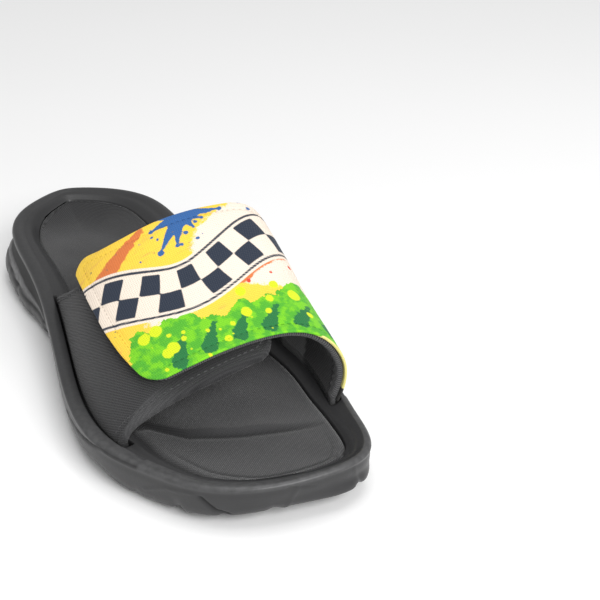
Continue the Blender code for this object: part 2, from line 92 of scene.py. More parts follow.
INSOLE_BED = 0.5
ARCH_MIDDLE = 42.0
BLACK_END = 0.63
PRINT_END = 0.192
PRINT_SKEW = 0.024
REAR_CORNER = 0.72
SKEW_FADE = 0.35

# Outline of the rim: station, medial, lateral
OUTLINE = (
    (0.000, 0.000, 0.000),
    (0.015, 0.115, 0.112),
    (0.060, 0.266, 0.260),
    (0.140, 0.371, 0.358),
    (0.280, 0.390, 0.386),
    (0.420, 0.371, 0.423),
    (0.560, 0.411, 0.484),
    (0.700, 0.469, 0.531),
    (0.800, 0.448, 0.500),
    (0.880, 0.411, 0.398),
    (0.940, 0.378, 0.295),
    (0.985, 0.301, 0.124),
    (1.000, 0.106, -0.106),
)
# Heights: station, rim, insole edge, insole middle
HEIGHTS = (
    (0.00, 1.000, 0.740, 0.700),
    (0.10, 1.000, 0.720, 0.620),
    (0.22, 0.960, 0.700, 0.610),
    (0.40, 0.840, 0.655, 0.620),
    (0.55, 0.730, 0.580, 0.550),
    (0.65, 0.650, 0.510, 0.480),
    (0.75, 0.620, 0.475, 0.440),
    (0.85, 0.597, 0.460, 0.430),
    (0.93, 0.620, 0.465, 0.430),
    (1.00, 0.665, 0.500, 0.470),
)
# Side wall: station, then how far it stands out at each share of the height
WALL_SHARES = (0.0, 0.11, 0.30, 0.50, 0.70, 0.86)
WALL = (
    (0.00, -0.32, -0.05, 0.45, 0.45, 0.18, -0.08),
    (0.06, -0.10, 0.55, 1.00, 0.72, 0.27, -0.06),
    (0.15, 0.00, 0.45, 0.72, 0.27, -0.03, -0.08),
    (0.30, -0.05, 0.36, 0.45, -0.05, -0.10, -0.09),
    (0.35, -0.20, 0.20, 0.36, -0.06, -0.10, -0.09),
    (0.40, -0.84, -0.53, -0.26, -0.10, -0.06, -0.08),
    (0.50, -0.84, -0.47, -0.21, -0.06, -0.03, -0.08),
    (0.60, -0.74, -0.32, -0.13, -0.04, -0.04, -0.09),
    (0.72, -0.50, -0.18, -0.08, -0.07, -0.06, -0.10),
    (0.85, -0.66, -0.30, -0.16, -0.12, -0.08, -0.10),
    (0.95, -0.62, -0.24, -0.14, -0.10, -0.08, -0.10),
    (1.00, -0.90, -0.42, -0.22, -0.16, -0.08, -0.10),
)
# Top of the rim from outside to inside: share of its width, share of the drop
ROLL = (
    (0.00, 0.28),
    (0.07, 0.10),
    (0.22, 0.00),
    (0.38, 0.08),
    (0.52, 0.24),
    (0.72, 0.36),
    (1.00, 0.92),
)
# Margin between outline and insole: station, medial, lateral. From 0.80 on the
# edge runs up to 3 mm further out than the CAD's, as its fabric cover does.
MARGIN = (
    (0.00, 0.72, 0.72),
    (0.08, 0.84, 0.84),
    (0.20, 0.94, 0.96),
    (0.33, 0.94, 1.00),
    (0.45, 0.92, 0.90),
    (0.60, 0.96, 0.92),
    (0.72, 0.92, 1.10),
    (0.80, 0.86, 1.14),
    (0.87, 0.70, 0.88),
    (0.93, 0.64, 0.76),
    (0.97, 0.70, 0.72),
    (1.00, 0.62, 0.62),
)
# Lift of the insole edge: station, medial, lateral
LIFT = (
    (0.00, 0.150, 0.150),
    (0.04, 0.155, 0.115),
    (0.10, 0.150, 0.030),
    (0.16, 0.130, 0.000),
    (0.30, 0.070, 0.000),
    (0.45, 0.030, 0.000),
    (0.60, 0.000, 0.000),
    (1.00, 0.000, 0.000),
)
# Front edge of the ball pad: across, ahead
BALL_LINE = (
    (-0.296, 0.257),
    (-0.185, 0.304),
    (0.000, 0.336),
    (0.204, 0.357),
    (0.352, 0.371),
)
# Strap arch: station, crown place, crown height, inner reach, fullness
ARCH = (
    (0.36, 0.19, 0.985, 0.405, 3.6),
    (0.50, 0.19, 0.965, 0.417, 3.8),
    (0.57, 0.18, 0.930, 0.425, 3.8),
    (0.64, 0.17, 0.835, 0.425, 3.5),
    (0.71, 0.155, 0.735, 0.418, 3.1),
    (0.79, 0.145, 0.640, 0.410, 2.9),
    (0.85, 0.135, 0.590, 0.395, 2.8),
)
# Strap edges: place along the arch, rear and front stations
BLACK_EDGES = (
    (0.00, 0.388, 0.801),
    (0.06, 0.438, 0.809),
    (0.14, 0.500, 0.822),
    (0.24, 0.545, 0.832),
    (0.40, 0.566, 0.839),
    (0.62, 0.576, 0.833),
)
PRINT_EDGES = (
    (0.19, 0.508, 0.803),
    (0.23, 0.514, 0.807),
    (0.28, 0.536, 0.811),
    (0.34, 0.551, 0.814),
    (0.45, 0.559, 0.816),
    (0.60, 0.563, 0.817),
    (0.72, 0.564, 0.823),
    (0.82, 0.532, 0.833),
    (0.92, 0.450, 0.837),
    (1.00, 0.390, 0.838),
)


def cell(keys, x):
    """Index of the interval between keys that holds x."""
    return np.clip(np.searchsorted(keys, x, side="right") - 1, 0, len(keys) - 2)


def running(steps):
    """Distance of each point from the first, from the steps between them."""
    return np.concatenate([[0], np.cumsum(steps)])


def there_and_back(out, back):
    """One closed ring from two lines that start and end together."""
    return np.concatenate([out, back[::-1][1:-1]])


def table(rows, x, columns):
    """Smooth value of each column of a table at x."""
    keys = np.array([row[0] for row in rows])
    data = np.array([row[1:1 + columns] for row in rows])
    x = np.clip(np.atleast_1d(np.asarray(x, float)), keys[0], keys[-1])
    step = np.diff(keys)
    slope = np.diff(data, axis=0) / step[:, None]
    tangent = np.zeros_like(data)
    inner = slope[:-1] * slope[1:]
    mean = (slope[:-1] + slope[1:]) / 2
    limit = 3 * np.minimum(abs(slope[:-1]), abs(slope[1:]))
    tangent[1:-1] = np.where(inner > 0, np.sign(mean) * np.minimum(abs(mean), limit), 0)
    tangent[0] = slope[0]
    tangent[-1] = slope[-1]
    i = cell(keys, x)
    h = step[i][:, None]
    t = ((x - keys[i]) / step[i])[:, None]
    a = data[i] * (2 * t ** 3 - 3 * t ** 2 + 1) + tangent[i] * h * (t ** 3 - 2 * t ** 2 + t)
    b = data[i + 1] * (3 * t ** 2 - 2 * t ** 3) + tangent[i + 1] * h * (t ** 3 - t ** 2)
    return a + b


def closed_spline(points, samples):
    """Smooth closed curve through points, with the knot value of each sample."""
    n = len(points)
    gaps = np.hypot(*(np.roll(points, -1, 0) - points).T) ** 0.5
    knots = running(gaps)
    before = np.roll(gaps, 1)
    eye = np.eye(n)
    matrix = 2 * (before + gaps)[:, None] * eye
    matrix += gaps[:, None] * np.roll(eye, 1, 1) + before[:, None] * np.roll(eye, -1, 1)
    slope = (np.roll(points, -1, 0) - points) / gaps[:, None]
    second = np.linalg.solve(matrix, 6 * (slope - np.roll(slope, 1, 0)))
    values = np.linspace(0, knots[-1], samples + 1)
    i = cell(knots, values)
    j = (i + 1) % n
    h = gaps[i][:, None]
    a = ((knots[i + 1] - values) / gaps[i])[:, None]
    b = 1 - a
    bend = (a ** 3 - a) * second[i] + (b ** 3 - b) * second[j]
    return a * points[i] + b * points[j] + bend * h ** 2 / 6, values, knots


def to_x(u):
    """Place along X of a station."""
    return (u - 0.5) * SOLE_LENGTH


def outline_sides():
    """The rim outline as two dense lines from heel to toe: medial, lateral."""
    u, medial, lateral = np.array(OUTLINE).T
    medial = np.column_stack([to_x(u), medial * SOLE_WIDTH])
    lateral = np.column_stack([to_x(u), -lateral * SOLE_WIDTH])
    curve, values, knots = closed_spline(there_and_back(medial, lateral), 8000)
    toe = knots[len(u) - 1]
    return curve[values <= toe], curve[values >= toe][::-1]


MEDIAL_LINE, LATERAL_LINE = outline_sides()


def half_width(x, side):
    """Half width of the rim outline at x on the medial (1) or lateral (-1) side."""
    line = MEDIAL_LINE if side > 0 else LATERAL_LINE
    order = np.argsort(line[:, 0])
    return side * np.interp(x, line[order, 0], line[order, 1])


def ease(value):
    """Smooth step from 0 to 1."""
    t = np.clip(value, 0, 1)
    return t * t * (3 - 2 * t)


def hump(value, width):
    """1 where value is 0, fading over about width."""
    return np.exp(-(value / width) ** 2)


def nearest(points, line, parts):
    """Distance from each point to the nearest point of a line."""
    found = []
    for part in np.array_split(points, parts):
        found.append(np.sqrt(((part[:, None] - line[None]) ** 2).sum(-1)).min(1))
    return np.concatenate(found)


def station(x):
    return np.clip(np.asarray(x, float) / SOLE_LENGTH + 0.5, 0, 1)


class Ring:
    """Points round the rim outline: medial from heel to toe, lateral back."""

    def __init__(self, per_side):
        fractions = np.linspace(0, 1, per_side + 1)
        lines = []
        for line in (MEDIAL_LINE, LATERAL_LINE):
            length = running(np.hypot(*np.diff(line, axis=0).T))
            places = fractions * length[-1]
            lines.append(np.column_stack([np.interp(places, length, line[:, k]) for k in (0, 1)]))
        self.points = there_and_back(*lines)
        self.side = there_and_back(np.ones(len(fractions)), -np.ones(len(fractions)))
        self.fraction = there_and_back(fractions, fractions)
        dense = there_and_back(MEDIAL_LINE, LATERAL_LINE)
        tangent = np.roll(dense, -24, 0) - np.roll(dense, 24, 0)
        normal = np.column_stack([-tangent[:, 1], tangent[:, 0]])
        normal /= np.hypot(*normal.T)[:, None]
        near = [int(np.argmin(((dense - p) ** 2).sum(1))) for p in self.points]
        self.normal = smooth_closed(normal[near], 6)
        self.normal /= np.hypot(*self.normal.T)[:, None]
        self.u = station(self.points[:, 0])
        self.count = len(self.points)
        self.half = per_side

    def place(self, out, z):
        """Points that stand out from the ring by out, at height z."""
        flat = self.points + self.normal * np.asarray(out)[:, None]
        return np.column_stack([flat, np.broadcast_to(z, self.count)])


def smooth_closed(values, passes):
    """Values evened out round a closed ring."""
    for _ in range(passes):
        values = (np.roll(values, 1, 0) + 2 * values + np.roll(values, -1, 0)) / 4
    return values


def bottom_height(u):
    """Height of the tread: flat at heel and ball, raised at shank and toe."""
    u = np.asarray(u, float)
    shank = np.clip(1 - abs(u - 0.465) / 0.115, 0, 1)
    toe = np.clip((u - 0.79) / 0.21, 0, 1)
    heel = np.clip((0.05 - u) / 0.05, 0, 1)
    lift = SHANK_RISE * shank ** 2 * (3 - 2 * shank)
    return lift + TOE_SPRING * toe ** 2 + 1.5 * heel ** 2


def seat_range(side):
    """Rear and front end of a strap slot along X."""
    row = BLACK_EDGES[0] if side < 0 else PRINT_EDGES[-1]
    return to_x(row[1]) - SLOT_END_ROOM, to_x(row[2]) + SLOT_END_ROOM


def slot_walls(side):
    """Margins from the outline to the outer and inner wall of a strap slot."""
    if side > 0:
        strap = FACE_THICKNESS + GAP + LINING_THICKNESS
        return SEAT_MEDIAL - SEAT_GAP, SEAT_MEDIAL + strap + SLOT_GAP
    outer = SEAT_LATERAL + STRAP_GAP / 2
    return SEAT_LATERAL - SLOT_OUTER_ROOM, outer + STRAP_LATERAL_THICKNESS + SLOT_GAP


def by_side(rows, u, side, unit):
    """A table's medial or lateral column in mm, by the side that each place is on."""
    both = table(rows, u, 2) * unit
    return np.where(side > 0, both[:, 0], both[:, 1])


def insole_margin(u, side):
    return by_side(MARGIN, u, side, INSOLE_MARGIN)


def heights(u):
    """Heights in mm of the rim, the insole's edge and the insole's middle."""
    return table(HEIGHTS, u, 3) * HEEL_RIM_HEIGHT


def slot_hold(ring):
    """1 round the ring where a slot for a strap foot is cut, 0 elsewhere."""
    hold = np.zeros(ring.count)
    for side in (1, -1):
        start, end = seat_range(side)
        middle = sum(slot_walls(side)) / 2
        x = ring.points[:, 0] - ring.normal[:, 0] * middle
        inside = ease((x - start + SLOT_END_STEP) / SLOT_END_STEP)
        inside = inside * ease((end + SLOT_END_STEP - x) / SLOT_END_STEP)
        hold = np.maximum(hold, inside * (ring.side == side))
    return hold


def floor_height(u):
    return heights(u)[:, 2] - INSOLE_THICKNESS


def edge_lift(u, side):
    """How much the insole edge stands above its table height on each side."""
    return by_side(LIFT, u, side, HEEL_RIM_HEIGHT)


def edge_height(u, side):
    return heights(u)[:, 1] + edge_lift(u, side)


def ball_line(y):
    """Where the ball pad ends, along X, for a distance from the centre line."""
    across = [row[0] * SOLE_WIDTH for row in BALL_LINE]
    reach = [row[1] * SOLE_LENGTH for row in BALL_LINE]
    return np.interp(y, across, reach)


def insole_top(x, y, reach):
    """Height of the insole surface at a distance, reach, from its edge."""
    levels = heights(station(x))
    inner = ease(0.5 + y / (2 * SIDE_BLEND))
    lift = inner * edge_lift(station(x), 1) + (1 - inner) * edge_lift(station(x), -1)
    edge = levels[:, 1] + lift
    dish = 1 - (1 - np.clip(reach / DISH_WIDTH, 0, 1)) ** 2.2
    z = edge + (levels[:, 2] - edge) * dish
    fade = np.clip((BALL_FADE_EDGE - y) / BALL_FADE_WIDTH, 0, 1)
    fade = fade * np.clip((station(x) - 0.55) / 0.2, 0, 1)
    z = z + BALL_PAD_RISE * ease((ball_line(y) - x) / BALL_PAD_EDGE) * fade * dish
    along = (x + ARCH_BACK) / ARCH_LONG
    across = (y - ARCH_SIDE) / ARCH_WIDE
    return z + ARCH_BUMP * np.exp(-along ** 2 - across ** 2) * dish


class Surface:
    """Vertices and faces of one mesh, gathered from grids of points."""

    def __init__(self):
        self.points = []
        self.faces = {3: [], 4: []}
        self.count = 0

    def add(self, points):
        points = np.asarray(points, float)
        index = self.count + np.arange(int(np.prod(points.shape[:-1])))
        self.points.append(points.reshape(-1, 3))
        self.count += len(index)
        return index.reshape(points.shape[:-1])

    def quads(self, a, b, c, d):
        faces = np.stack([np.ravel(v) for v in np.broadcast_arrays(a, b, c, d)], axis=1)
        same = (faces == np.roll(faces, -1, axis=1)).any(axis=1)
        self.faces[4].append(faces[~same])
        for face in faces[same]:
            kept = list(dict.fromkeys(face.tolist()))
            if len(kept) == 3:
                self.faces[3].append(np.array([kept]))

    def grid(self, index, closed=False, flip=False):
        """Faces between the rows of an index grid."""
        if closed:
            index = np.concatenate([index, index[:, :1]], axis=1)
        a, b = index[:-1, :-1], index[:-1, 1:]
        c, d = index[1:, 1:], index[1:, :-1]
        if flip:
            self.quads(d, c, b, a)
        else:
            self.quads(a, b, c, d)

    def bridge(self, ring, row, cells, height, flip):
        """A grid that joins the two sides of a ring row, with its own heights."""
        half = ring.half
        left = row[:half + 1]
        right = row[(ring.count - np.arange(half + 1)) % ring.count]
        points = np.concatenate(self.points)
        share = np.linspace(0, 1, cells + 1)[1:-1]
        a = points[left[1:-1]][:, None, :]
        b = points[right[1:-1]][:, None, :]
        inner = a + (b - a) * share[None, :, None]
        inner[..., 2] = height(inner[..., 0].ravel(), inner[..., 1].ravel()).reshape(inner.shape[:2])
        index = self.add(inner)
        lines = np.concatenate([left[1:-1, None], index, right[1:-1, None]], axis=1)
        first = np.full((1, cells + 1), left[0])
        last = np.full((1, cells + 1), left[-1])
        self.grid(np.concatenate([first, lines, last]), flip=flip)
        return index

    def thing(self, name, material, cloth=None, fields=None):
        """An object of this surface in the CAD frame."""
        data = bpy.data.meshes.new(name)
        points = (np.concatenate(self.points) + FRAME) * MM
        data.vertices.add(len(points))
        data.vertices.foreach_set("co", points.ravel())
        faces = [np.concatenate(self.faces[k]) for k in (3, 4) if self.faces[k]]
        corners = np.concatenate([f.ravel() for f in faces])
        sizes = np.concatenate([np.full(len(f), f.shape[1]) for f in faces])
        data.loops.add(len(corners))
        data.loops.foreach_set("vertex_index", corners.astype(np.int32))
        data.polygons.add(len(sizes))
        starts = np.concatenate([[0], np.cumsum(sizes)[:-1]])
        data.polygons.foreach_set("loop_start", starts.astype(np.int32))
        data.update(calc_edges=True)
        data.polygons.foreach_set("use_smooth", np.ones(len(sizes), bool))
        if cloth is not None:
            layer = data.uv_layers.new(name="cloth")
            layer.data.foreach_set("uv", (cloth[corners] * MM).astype(np.float32).ravel())
        for key, values in (fields or {}).items():
            field = data.attributes.new(key, "FLOAT", "POINT")
            field.data.foreach_set("value", np.asarray(values, np.float32))
        data.materials.append(material)
        return show(name, data)

    def piece(self, name, material, cloth=None, fields=None):
        """A closed piece of the sandal, with all its faces turned outward."""
        thing = self.thing(name, material, cloth, fields)
        whole = bmesh.new()
        whole.from_mesh(thing.data)
        bmesh.ops.recalc_face_normals(whole, faces=whole.faces)
        whole.to_mesh(thing.data)
        whole.free()
        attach(thing, "root")
        return thing


def show(name, data):
    """An object that holds data, put into the scene."""
    thing = bpy.data.objects.new(name, data)
    bpy.context.scene.collection.objects.link(thing)
    return thing


class Finish:
    """A node material. Lengths given to its methods are in mm."""

    def __init__(self, name, roughness=0.6, sheen=0.0, specular=0.5):
        self.material = bpy.data.materials.new(name)
        self.material.use_nodes = True
        self.tree = self.material.node_tree
        self.shader = self.tree.nodes["Principled BSDF"]
        self.set("Roughness", roughness)
        self.set("Sheen Weight", sheen)
        self.set("Sheen Roughness", 0.45)
        self.set("Specular IOR Level", specular)
        self.height = None

    def set(self, key, value):
        """A colour, number or node output for one input of the shader."""
        self.feed(self.shader.inputs[key], value)

    def make(self, kind, inputs=None, **settings):
        node = self.tree.nodes.new(kind)
        for key, value in settings.items():
            setattr(node, key, value)
        for key, value in (inputs or {}).items():
            self.feed(node.inputs[key], value)
        return node

    def feed(self, socket, value):
        if isinstance(value, bpy.types.NodeSocket):
            self.tree.links.new(value, socket)
        elif isinstance(value, tuple) and len(value) == 3 and socket.type == "RGBA":
            socket.default_value = (*value, 1)
        else:
            socket.default_value = value

    def where(self, scale=(1, 1, 1), turn=0.0, cloth=False):
        """Place on the surface in mm, stretched by scale and turned about Z."""
        if cloth:
            source = self.make("ShaderNodeUVMap", uv_map="cloth").outputs["UV"]
        else:
            source = self.make("ShaderNodeTexCoord").outputs["Object"]
        scale = [s / MM for s in scale]
        inputs = {"Scale": scale, "Rotation": (0, 0, turn), "Vector": source}
        return self.make("ShaderNodeMapping", inputs).outputs["Vector"]

    def parts(self, vector):
        """The first two coordinates of a place."""
        return self.make("ShaderNodeSeparateXYZ", {"Vector": vector}).outputs[:2]

    def maths(self, kind, a, b=0.0, c=0.0, clamp=False):
        node = self.make("ShaderNodeMath", operation=kind, use_clamp=clamp)
        for socket, value in zip(node.inputs, (a, b, c)):
            self.feed(socket, value)
        return node.outputs[0]

    def times(self, a, b):
        return self.maths("MULTIPLY", a, b)

    def line(self, value, slope, start):
        """start plus slope times value."""
        return self.maths("MULTIPLY_ADD", value, slope, start)

    def noise(self, where, size, detail=2.0, rough=0.5, bend=0.0):
        """Noise with features of about size mm, from 0 to 1."""
        inputs = {"Vector": where, "Scale": 1 / size, "Detail": detail}
        inputs.update({"Roughness": rough, "Distortion": bend})
        return self.make("ShaderNodeTexNoise", inputs).outputs["Fac"]

    def wave(self, across, pitch):
        """Ribs from 0 to 1 along a length."""
        angle = self.times(across, 2 * math.pi / pitch)
        return self.line(self.maths("SINE", angle), 0.5, 0.5)

    def rise(self, value, low, high):
        """Smooth step from 0 at low to 1 at high."""
        inputs = {"Value": value, "From Min": low, "From Max": high}
        return self.make("ShaderNodeMapRange", inputs, interpolation_type="SMOOTHSTEP").outputs[0]

    def blend(self, share, first, second):
        """Colour that goes from first to second as share goes from 0 to 1."""
        node = self.make("ShaderNodeMix", {"Factor": share}, data_type="RGBA")
        sockets = [s for s in node.inputs if s.type == "RGBA"]
        self.feed(sockets[0], first)
        self.feed(sockets[1], second)
        return [s for s in node.outputs if s.type == "RGBA"][0]

    def over(self, tone, share, field, ink):
        """tone with ink laid over it by a share of field."""
        return self.blend(self.times(field, share), tone, ink)

    def field(self, name):
        return self.make("ShaderNodeAttribute", attribute_name=name).outputs["Fac"]

    def colour(self, value):
        self.set("Base Color", value)

    def gloss(self, value):
        self.set("Roughness", value)

    def bump(self, value, depth):
        """Relief of depth mm where value goes from 0 to 1."""
        inputs = {"Distance": depth * MM, "Strength": 1.0, "Height": value}
        if self.height is not None:
            inputs["Normal"] = self.height
        self.height = self.make("ShaderNodeBump", inputs).outputs["Normal"]
        self.set("Normal", self.height)


# Materials

def grey(tone, cool=0.001):
    """A neutral grey, a touch bluer by cool."""
    return (tone, tone, round(tone + cool, 4))


def sole_finish():
    made = Finish("moulded_foam_black", specular=0.36)
    place = made.where()
    cloud = made.noise(place, 26, 3)
    fine = made.noise(place, 0.7, 3, 0.6)
    pits = made.noise(place, 2.4, 2)
    shade = made.field("shade")
    tone = made.blend(cloud, grey(0.020), grey(0.033))
    scuffs = made.line(made.rise(pits, 0.3, 0.7), 0.4, 0.5)
    # Lighter by this field: painted highlight with scuffing on the rim crest and the flare facet, and
    # scuffing at the foot of the wall.
    tone = made.over(tone, scuffs, made.field("painted_light_and_wear"), grey(0.135, 0.002))
    dust = made.rise(made.noise(place, 5, 4, 0.7), 0.58, 0.85)
    tone = made.over(tone, 0.30, dust, (0.055, 0.054, 0.052))
    # Painted shade: the colour darkens where the shade field is high.
    made.colour(made.over(tone, 0.85, shade, grey(0.005, 0)))
    rough = made.line(shade, 0.35, made.line(fine, 0.14, 0.34))
    made.gloss(made.line(cloud, 0.10, rough))
    made.set("Coat Roughness", 0.28)
    made.set("Coat Weight", made.maths("MULTIPLY_ADD", shade, -0.16, 0.16, clamp=True))
    made.bump(fine, 0.05)
    made.bump(pits, 0.05)
    return made.material


def insole_finish():
    made = Finish("insole_knit_black", roughness=0.85, sheen=0.25, specular=0.25)
    place = made.where()
    x, y = made.parts(place)
    first = made.wave(made.maths("ADD", x, y), 1.05)
    second = made.wave(made.maths("SUBTRACT", x, y), 1.05)
    knit = made.times(first, second)
    fuzz = made.noise(place, 0.5, 2)
    tone = made.blend(made.noise(place, 18, 3), grey(0.021), grey(0.033))
    tone = made.over(tone, 0.6, knit, grey(0.060, 0.002))
    # Painted light: the ball pad under the strap and the insole towards the toe are lighter.
    tone = made.over(tone, 0.45, made.field("painted_light_and_wear"), grey(0.085, 0.002))
    made.colour(made.over(tone, 0.75, made.field("shade"), grey(0.008, 0)))
    made.gloss(made.line(fuzz, 0.15, 0.75))
    made.bump(knit, 0.18)
    made.bump(fuzz, 0.06)
    return made.material


# Place along the sole, in mm, ahead of which the ribs follow the front hem
HEM_RIBS = 84.8
# Pitch of the ribs and of the threads across them, and the turn of the ribs
RIB_PITCH = 1.15
THREAD_PITCH = 0.9
RIB_TURN = 1.08


def webbing_finish():
    made = Finish("ribbed_webbing_black", roughness=0.8, sheen=0.12, specular=0.3)

    def ribbed(x, y):
        shift = made.times(made.rise(made.wave(y, RIB_PITCH * 2), 0.4, 0.6), 0.45)
        threads = made.wave(made.maths("ADD", x, shift), THREAD_PITCH)
        return made.line(threads, 0.35, made.times(made.wave(y, RIB_PITCH), 0.65))

    along, across = made.parts(made.where(cloth=True))
    front = made.rise(across, HEM_RIBS - 0.6, HEM_RIBS + 0.6)
    main = ribbed(*made.parts(made.where(turn=RIB_TURN, cloth=True)))
    knit = made.line(made.maths("SUBTRACT", ribbed(along, across), main), front, main)
    solid = made.where()
    fuzz = made.noise(solid, 0.45, 2)
    dark = grey(0.014)
    tone = made.blend(made.noise(solid, 14, 3), dark, grey(0.024))
    tone = made.over(tone, 0.75, knit, grey(0.068, 0.002))
    low = made.rise(along, 45, 75)
    tone = made.over(tone, 0.55, made.times(front, low), grey(0.080, 0.002))
    # Painted shade on the front-hem ribs towards the free end; towards the foot they are lighter.
    painted_front_shade = made.times(front, made.maths("SUBTRACT", 1.0, low))
    made.colour(made.over(tone, 0.5, painted_front_shade, dark))
    made.gloss(made.line(fuzz, 0.15, 0.70))
    made.bump(knit, 0.30)
    made.bump(fuzz, 0.06)
    return made.material


def lining_finish():
    made = Finish("lining_felt_black", roughness=0.9, sheen=0.2, specular=0.2)
    place = made.where()
    x, y = made.parts(made.where(turn=0.5, cloth=True))
    knit = made.times(made.wave(x, 1.2), made.wave(y, 1.2))
    fuzz = made.noise(place, 0.6, 3)
    tone = made.blend(made.noise(place, 12, 2), grey(0.018), grey(0.028))
    tone = made.over(tone, 0.5, knit, grey(0.062, 0.002))
    tone = made.over(tone, made.wave(x, 0.9), made.field("binding"), grey(0.115, 0.002))
    satin = made.blend(made.wave(y, 0.8), grey(0.13, 0.002), grey(0.23, 0.002))
    made.colour(made.blend(made.field("tab"), tone, satin))
    made.bump(made.field("tab"), 0.4)
    made.gloss(made.line(fuzz, 0.1, 0.82))
    made.bump(knit, 0.15)
    made.bump(fuzz, 0.08)
    return made.material


# Pairs of colours that noise mixes, and the pale colour of the print
YELLOWS = ((0.95, 0.63, 0.055), (0.86, 0.50, 0.07))
GREENS = ((0.075, 0.42, 0.017), (0.18, 0.60, 0.007))
CREAM = (0.87, 0.755, 0.64)
# Inks of the print over its yellow ground, from the lowest layer up: field,
# colour, raggedness and softness of the edge in mm
INKS = (
    ("ink_cream", CREAM, 3.2, 0.9),
    ("ink_orange", (0.69, 0.18, 0.043), 1.8, 0.5),
    ("ink_blue", (0.022, 0.114, 0.342), 0.7, 0.25),
    ("ink_green", GREENS, 2.2, 0.25),
    ("ink_dark_green", (0.007, 0.17, 0.04), 2.4, 0.25),
    ("ink_lime", (0.66, 0.78, 0.006), 0.5, 0.25),
    ("ink_red", (0.68, 0.055, 0.024), 0.8, 0.25),
    ("ink_fleck", (0.16, 0.14, 0.10), 0.5, 0.25),
    ("ink_line", CREAM, 0.12, 0.25),
    ("ink_navy", (0.012, 0.022, 0.045), 0.12, 0.25),
)
# Bare cloth along the edge of the print, and the binding of its foot
EDGE_INKS = (
    ("ink_edge", (0.72, 0.66, 0.22), 0.0, 0.15),
    ("ink_foot", grey(0.02), 0.1, 0.3),
)


def print_finish(name, inks, shade=1.0):
    """Printed cloth, with its colours darkened to shade."""
    made = Finish(name, roughness=0.78, sheen=0.06, specular=0.25)
    place = made.where(cloth=True)
    x, y = made.parts(place)
    streaks = made.where(scale=(0.20, 1.0, 1.0), turn=0.25, cloth=True)
    edge = made.line(made.noise(place, 2.2, 4, 0.65), 2.4, -1.2)
    grain = made.noise(place, 0.6, 2)

    def shaded(ink):
        return tuple(shade * c for c in ink)

    def mottled(where, low, high, pair):
        return made.blend(made.rise(where, low, high), shaded(pair[0]), shaded(pair[1]))

    tone = mottled(made.noise(streaks, 8, 5, 0.62, 0.5), 0.54, 0.62, YELLOWS)
    for field, ink, ragged, soft in inks:
        shape = made.maths("ADD", made.field(field), made.times(edge, ragged))
        if ink is GREENS:
            ink = mottled(made.noise(place, 6, 3, 0.6), 0.42, 0.58, GREENS)
        else:
            ink = shaded(ink)
        tone = made.blend(made.rise(shape, -soft, soft), tone, ink)
    weave = made.times(made.wave(x, 0.9), made.wave(y, 0.9))
    faded = made.line(weave, 0.04, made.times(grain, 0.03))
    made.colour(made.blend(faded, tone, shaded((0.62, 0.58, 0.50))))
    made.bump(weave, 0.16)
    made.bump(grain, 0.05)
    return made.material


def thread_finish(name, colour):
    made = Finish(name, sheen=0.2)
    twist = made.noise(made.where(), 0.35, 2)
    made.colour(made.blend(twist, tuple(c * 0.6 for c in colour), colour))
    made.bump(twist, 0.08)
    return made.material


def floor_finish():
    made = Finish("pale_floor", roughness=0.9, specular=0.1)
    cloud = made.noise(made.where(), 300, 2)
    made.colour(made.blend(cloud, grey(0.92, 0), grey(0.94, 0)))
    return made.material


# Sole

def lug_cut(ring):
    """1 in the side grooves between the lugs, 0 on the lugs."""
    place = ring.fraction * LUGS_PER_SIDE
    away = place % 1.0
    away = np.where(away > 0.6, away - 1.0, away)
    uneven = 0.62 + 0.38 * np.sin(np.round(place - 0.1) * 2.4 + ring.side)
    inside = ease(ring.fraction * 40) * ease((1 - ring.fraction) * 40)
    return hump(away - 0.07, 0.115) * uneven * inside


def spread_rows(rows, step):
    """Extra rows between the given ones, about step mm apart."""
    made = [rows[0]]
    for a, b in zip(rows[:-1], rows[1:]):
        gap = float(np.median(np.hypot(*(b - a).T)))
        parts = max(int(round(gap / step)), 1)
        for k in range(1, parts + 1):
            made.append(a + (b - a) * k / parts)
    return np.array(made)


def soften(rows, passes):
    """Rows evened out along the profile, with the first and last kept."""
    for _ in range(passes):
        middle = (rows[:-2] + 2 * rows[1:-1] + rows[2:]) / 4
        rows = np.concatenate([rows[:1], middle, rows[-1:]])
    return rows


# Profile of a strap slot from its outer to its inner lip: share of its width,
# share of its depth
SLOT_PROFILE = (
    (0.00, 0.00),
    (0.00, 0.06),
    (0.00, 0.30),
    (0.00, 0.65),
    (0.02, 1.00),
    (0.50, 1.00),
    (0.98, 1.00),
    (1.00, 0.65),
    (1.00, 0.30),
    (1.00, 0.06),
    (1.00, 0.00),
)


# Creases and ridges of the side wall: side, width, height of the relief, then
# the (share of the side's length, share of the wall's height) points of its line
WALL_LINES = (
    (-1, 0.9, -0.65, ((0.60, 0.60), (0.672, 0.74), (0.70, 0.84), (0.72, 0.93), (0.774, 0.95))),
    (-1, 0.8, 0.30, ((0.784, 0.42), (0.816, 0.68), (0.850, 0.74))),
    (-1, 0.9, -0.70, ((0.862, 0.68), (0.878, 0.34), (0.892, 0.20))),
    (-1, 0.9, 0.30, ((0.972, 0.82), (0.958, 0.12))),
    (-1, 0.7, -0.30, ((0.962, 0.86), (0.992, 0.68))),
    (1, 0.8, 0.25, ((0.955, 0.78), (0.945, 0.12))),
    (1, 0.9, -0.55, ((0.62, 0.62), (0.68, 0.73), (0.71, 0.84), (0.74, 0.93), (0.79, 0.95))),
)
